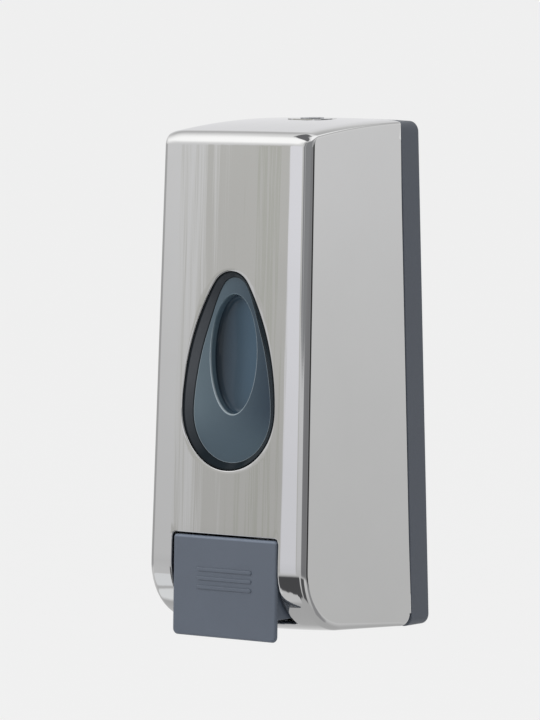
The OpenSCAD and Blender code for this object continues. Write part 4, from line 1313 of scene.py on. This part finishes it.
# The room that bright metal mirrors. Each panel has its left and right edge in degrees from the front
# towards the right with the softness of both edges, its low and high edge with theirs, and its colour.
ROOM_PANELS = (
    ((-122, 6, -58, 3), (-10, 3, 9, 3), (0.60, 0.60, 0.60)),
    ((-178, 6, -124, 6), (1, 3, 22, 6), (0.83, 0.83, 0.845)),
    ((150, 5, 181, 1), (-14, 3, 1, 2), (1.20, 1.20, 1.20)),
    ((133, 3, 149, 3), (-2.5, 1.3, 1, 2), (1.03, 1.03, 1.035)),
    ((133, 3, 149, 3), (-12, 3, -5.2, 2.2), (0.86, 0.86, 0.855)),
    ((-57, 3, -41.6, 0.7), (-48, 4, 12, 6), (0.88, 0.88, 0.885)),
    ((-41.5, 0.6, -25.5, 1), (-9, 3, 12, 6), (0.70, 0.695, 0.67)),
    ((-39.85, 0.15, -39.4, 0.08), (-9, 3, 12, 6), (0.62, 0.625, 0.575)),
    ((-37.6, 0.5, -30, 1), (-9, 3, 13, 5), (1.05, 1.05, 1.10)),
    ((-21, 5, 100, 8), (-8, 3, 44, 3), (0.33, 0.335, 0.345)),
    ((-1.0, 3, 3.5, 2), (2, 2, 44, 3), (0.66, 0.66, 0.67)),
    ((86, 4, 93, 3), (-8, 3, 44, 3), (0.62, 0.62, 0.63)),
    ((-24, 1, 33, 3), (-9, 3, 2.2, 0.25), (0.85, 0.85, 0.86)),
    ((35, 3, 98, 5), (-9, 3, 2.2, 0.25), (0.31, 0.31, 0.32)),
    ((99, 5, 126, 6), (-50, 5, 16, 6), (0.42, 0.42, 0.43)),
    ((103, 5, 127, 5), (-9, 1.5, 4.5, 1.5), (0.05, 0.05, 0.05)),
    ((-43.5, 1, 10, 4), (-46, 3, -10.5, 2), (0.11, 0.11, 0.115)),
    ((26, 3, 66, 4), (-46, 3, -11, 1.5), (0.13, 0.13, 0.135)),
    ((-66, 3, -46, 0.8), (-35, 1.2, -20, 0.8), (1.12, 1.14, 1.16)),
    ((-90, 6, -58, 3), (-46, 1, -38, 1.2), (1.16, 1.18, 1.19)),
    ((-88, 30, -34, 4), (22, 9, 51, 3), (1.50, 1.50, 1.49)),
    ((-126, 5, 12, 6), (52, 0.8, 72, 4), (0.20, 0.20, 0.21)),
    ((52, 8, 176, 4), (42, 4, 100, 3), (1.40, 1.40, 1.40)),
)
# Brightness of the rest of the room by height in degrees, and the dimming of all of it below eye level
ROOM_WALLS = ((-90, 0.62), (-46, 0.64), (-14, 0.95), (14, 0.95), (26, 0.78), (38, 0.60), (48, 0.85),
              (60, 1.1), (90, 1.2))
ROOM_FADE = ((-90, 0.9), (-12, 0.84), (-5, 0.80), (-2, 0.83), (0, 0.86), (3, 1.0), (90, 1.0))
# Both are halved so that bright values fit in a colour, and this strength makes up for it
ROOM_STRENGTH = 4.0


def build_world():
    """The room: plain light for dull surfaces, a plain pale backdrop for the camera, and for bright metal
    and glass walls that change with height, hung with soft-edged panels."""
    world = bpy.data.worlds.new("studio")
    bpy.context.scene.world = world
    world.use_nodes = True
    world.node_tree.nodes.clear()
    wire = Wire(world.node_tree)
    way = wire.node("ShaderNodeTexCoord", out=0)
    parts = wire.node("ShaderNodeSeparateXYZ", {}, {"Vector": way})
    x, y, z = (parts.other(axis) for axis in "XYZ")
    turn = wire.maths("ARCTAN2", x, y * -1.0) * math.degrees(1)
    lift = wire.maths("ARCSINE", z, 0.0) * math.degrees(1)

    def ramp(angle, stops):
        """Greys by an angle, at half strength."""
        low, span = stops[0][0], stops[-1][0] - stops[0][0]
        greys = [((at - low) / span, (value / 2, value / 2, value / 2, 1)) for at, value in stops]
        return wire.node("ShaderNodeValToRGB", {"stops": greys}, {0: (angle - low) * (1 / span)})

    def between(angle, low, low_soft, high, high_soft):
        """One between two angles and nothing outside them, with soft edges."""
        rise = soft_step(wire, angle, low - low_soft, low + low_soft)
        return rise * soft_step(wire, angle, high + high_soft, high - high_soft)

    room = ramp(lift, ROOM_WALLS)
    for sides, heights, colour in ROOM_PANELS:
        mask = between(turn, *sides) * between(lift, *heights)
        room = mix(wire, mask, room, (*(channel / 2 for channel in colour), 1))
    room = wire.node("ShaderNodeMix", {"data_type": "RGBA", "blend_type": "MULTIPLY"},
                     {0: 1.0, 6: room, 7: ramp(lift, ROOM_FADE)}, out=2)
    path = wire.node("ShaderNodeLightPath")
    rays = ("Is Camera Ray", "Is Glossy Ray", "Is Transmission Ray")
    seen, gloss, clear = (path.other(name) for name in rays)
    mirror = wire.node("ShaderNodeBackground", {}, {"Color": room, "Strength": ROOM_STRENGTH})
    light = seen * BACKDROP + (1.0 - seen) * PLAIN_LIGHT
    plain = wire.node("ShaderNodeBackground", {}, {"Color": (1, 1, 1, 1), "Strength": light})
    both = wire.node("ShaderNodeMixShader", {}, {0: wire.maths("MAXIMUM", gloss, clear), 1: plain, 2: mirror})
    wire.node("ShaderNodeOutputWorld", {}, {"Surface": both})


def build_floor():
    """A wide pale floor below the wall unit, mostly its own plain colour to the camera, partly lit so
    that it keeps the object's shadow."""
    skin = Skin()
    run = np.linspace(-FLOOR_REACH, FLOOR_REACH, 3)
    x, y = np.meshgrid(run, run)
    skin.grid(np.stack([x, -y, np.full_like(x, FLOOR_Z)], axis=-1))
    mesh = bpy.data.meshes.new("floor")
    mesh.from_pydata(np.concatenate(skin.points).tolist(), [], skin.faces)
    material, wire = new_material("pale_floor")
    grain = noise(wire, scale=30.0, detail=3.0)
    seen = wire.node("ShaderNodeLightPath").other("Is Camera Ray")
    pale = uneven(wire, grain, (1, 1, 1), *FLOOR_PALE)
    lit = wire.node("ShaderNodeBsdfDiffuse", {}, {"Color": pale})
    plain = wire.node("ShaderNodeEmission", {}, {"Color": shade((1, 1, 1), FLOOR_GLOW)})
    both = wire.node("ShaderNodeMixShader", {}, {0: seen * FLOOR_PLAIN_SHARE, 1: lit, 2: plain})
    wire.node("ShaderNodeOutputMaterial", {}, {"Surface": both})
    mesh.materials.append(material)
    floor = add_object("floor", mesh)
    floor.visible_glossy = False


# Operators, panel and registration

class DISPENSER_OT_cover(bpy.types.Operator):
    """Build the chrome cover with its window hole, cut-out and inner fittings"""
    bl_idname = "dispenser.cover"
    bl_label = "Front Cover"

    def execute(self, context):
        scene = context.scene
        chrome = finishes(context)["chrome_shell"]
        build_cover(scene.dispenser_body, scene.dispenser_window, scene.dispenser_button, chrome)
        build_cover_fittings(scene.dispenser_body, scene.dispenser_window, chrome)
        return {"FINISHED"}


class DISPENSER_OT_window(bpy.types.Operator):
    """Build the smoked teardrop window with its oval dish"""
    bl_idname = "dispenser.window"
    bl_label = "Window"

    def execute(self, context):
        scene = context.scene
        build_window(scene.dispenser_body, scene.dispenser_window, scene.dispenser_finish,
                     finishes(context)["smoked_window"])
        return {"FINISHED"}


class DISPENSER_OT_button(bpy.types.Operator):
    """Build the push button with its ribs, cheeks, hubs and pusher"""
    bl_idname = "dispenser.button"
    bl_label = "Push Button"

    def execute(self, context):
        scene = context.scene
        build_button(scene.dispenser_body, scene.dispenser_button, finishes(context)["button_plastic"])
        return {"FINISHED"}


class DISPENSER_OT_plate(bpy.types.Operator):
    """Build the back plate with its lugs, rests, catch and screw holes"""
    bl_idname = "dispenser.plate"
    bl_label = "Back Plate"

    def execute(self, context):
        build_plate(context.scene.dispenser_body, finishes(context)["grey_plastic"])
        return {"FINISHED"}


class DISPENSER_OT_spring(bpy.types.Operator):
    """Build the pump spring"""
    bl_idname = "dispenser.spring"
    bl_label = "Pump Spring"

    def execute(self, context):
        build_spring(finishes(context)["steel"])
        return {"FINISHED"}


class DISPENSER_OT_inner(bpy.types.Operator):
    """Give the pump, tank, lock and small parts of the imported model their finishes"""
    bl_idname = "dispenser.inner"
    bl_label = "Inner Parts"

    def execute(self, context):
        made = finishes(context)
        for part in frame["record"]["subparts"]:
            mesh = frame["nodes"][part["node"]].data
            mesh.materials.clear()
            mesh.materials.append(made[part["material_slot"]])
        return {"FINISHED"}


class DISPENSER_OT_stage(bpy.types.Operator):
    """Set the camera, the soft lamps, the room and the pale floor"""
    bl_idname = "dispenser.stage"
    bl_label = "Stage"

    def execute(self, context):
        context.scene.view_settings.view_transform = "Standard"
        build_camera()
        build_world()
        build_floor()
        for lamp in LAMPS:
            build_lamp(*lamp)
        return {"FINISHED"}


class DISPENSER_PT_panel(bpy.types.Panel):
    """Lists the dispenser's pieces in the sidebar"""
    bl_idname = "DISPENSER_PT_panel"
    bl_label = "Soap Dispenser"
    bl_space_type = "VIEW_3D"
    bl_region_type = "UI"
    bl_category = "Dispenser"

    def draw(self, context):
        for operator in OPERATORS:
            self.layout.operator(operator.bl_idname)


GROUPS = {
    "dispenser_body": DispenserBody,
    "dispenser_window": DispenserWindow,
    "dispenser_button": DispenserButton,
    "dispenser_finish": DispenserFinish,
}
OPERATORS = (DISPENSER_OT_cover, DISPENSER_OT_window, DISPENSER_OT_button, DISPENSER_OT_plate,
             DISPENSER_OT_spring, DISPENSER_OT_inner, DISPENSER_OT_stage)


def register():
    for group in (*GROUPS.values(), *OPERATORS, DISPENSER_PT_panel):
        bpy.utils.register_class(group)
    for name, group in GROUPS.items():
        setattr(bpy.types.Scene, name, PointerProperty(type=group))


def unregister():
    for name in GROUPS:
        delattr(bpy.types.Scene, name)
    for group in reversed((*GROUPS.values(), *OPERATORS, DISPENSER_PT_panel)):
        bpy.utils.unregister_class(group)


def main():
    """Builds every piece in order."""
    register()
    bpy.ops.dispenser.cover()
    bpy.ops.dispenser.window()
    bpy.ops.dispenser.button()
    bpy.ops.dispenser.plate()
    bpy.ops.dispenser.spring()
    bpy.ops.dispenser.inner()
    bpy.ops.dispenser.stage()


if __name__ == "__main__":
    main()
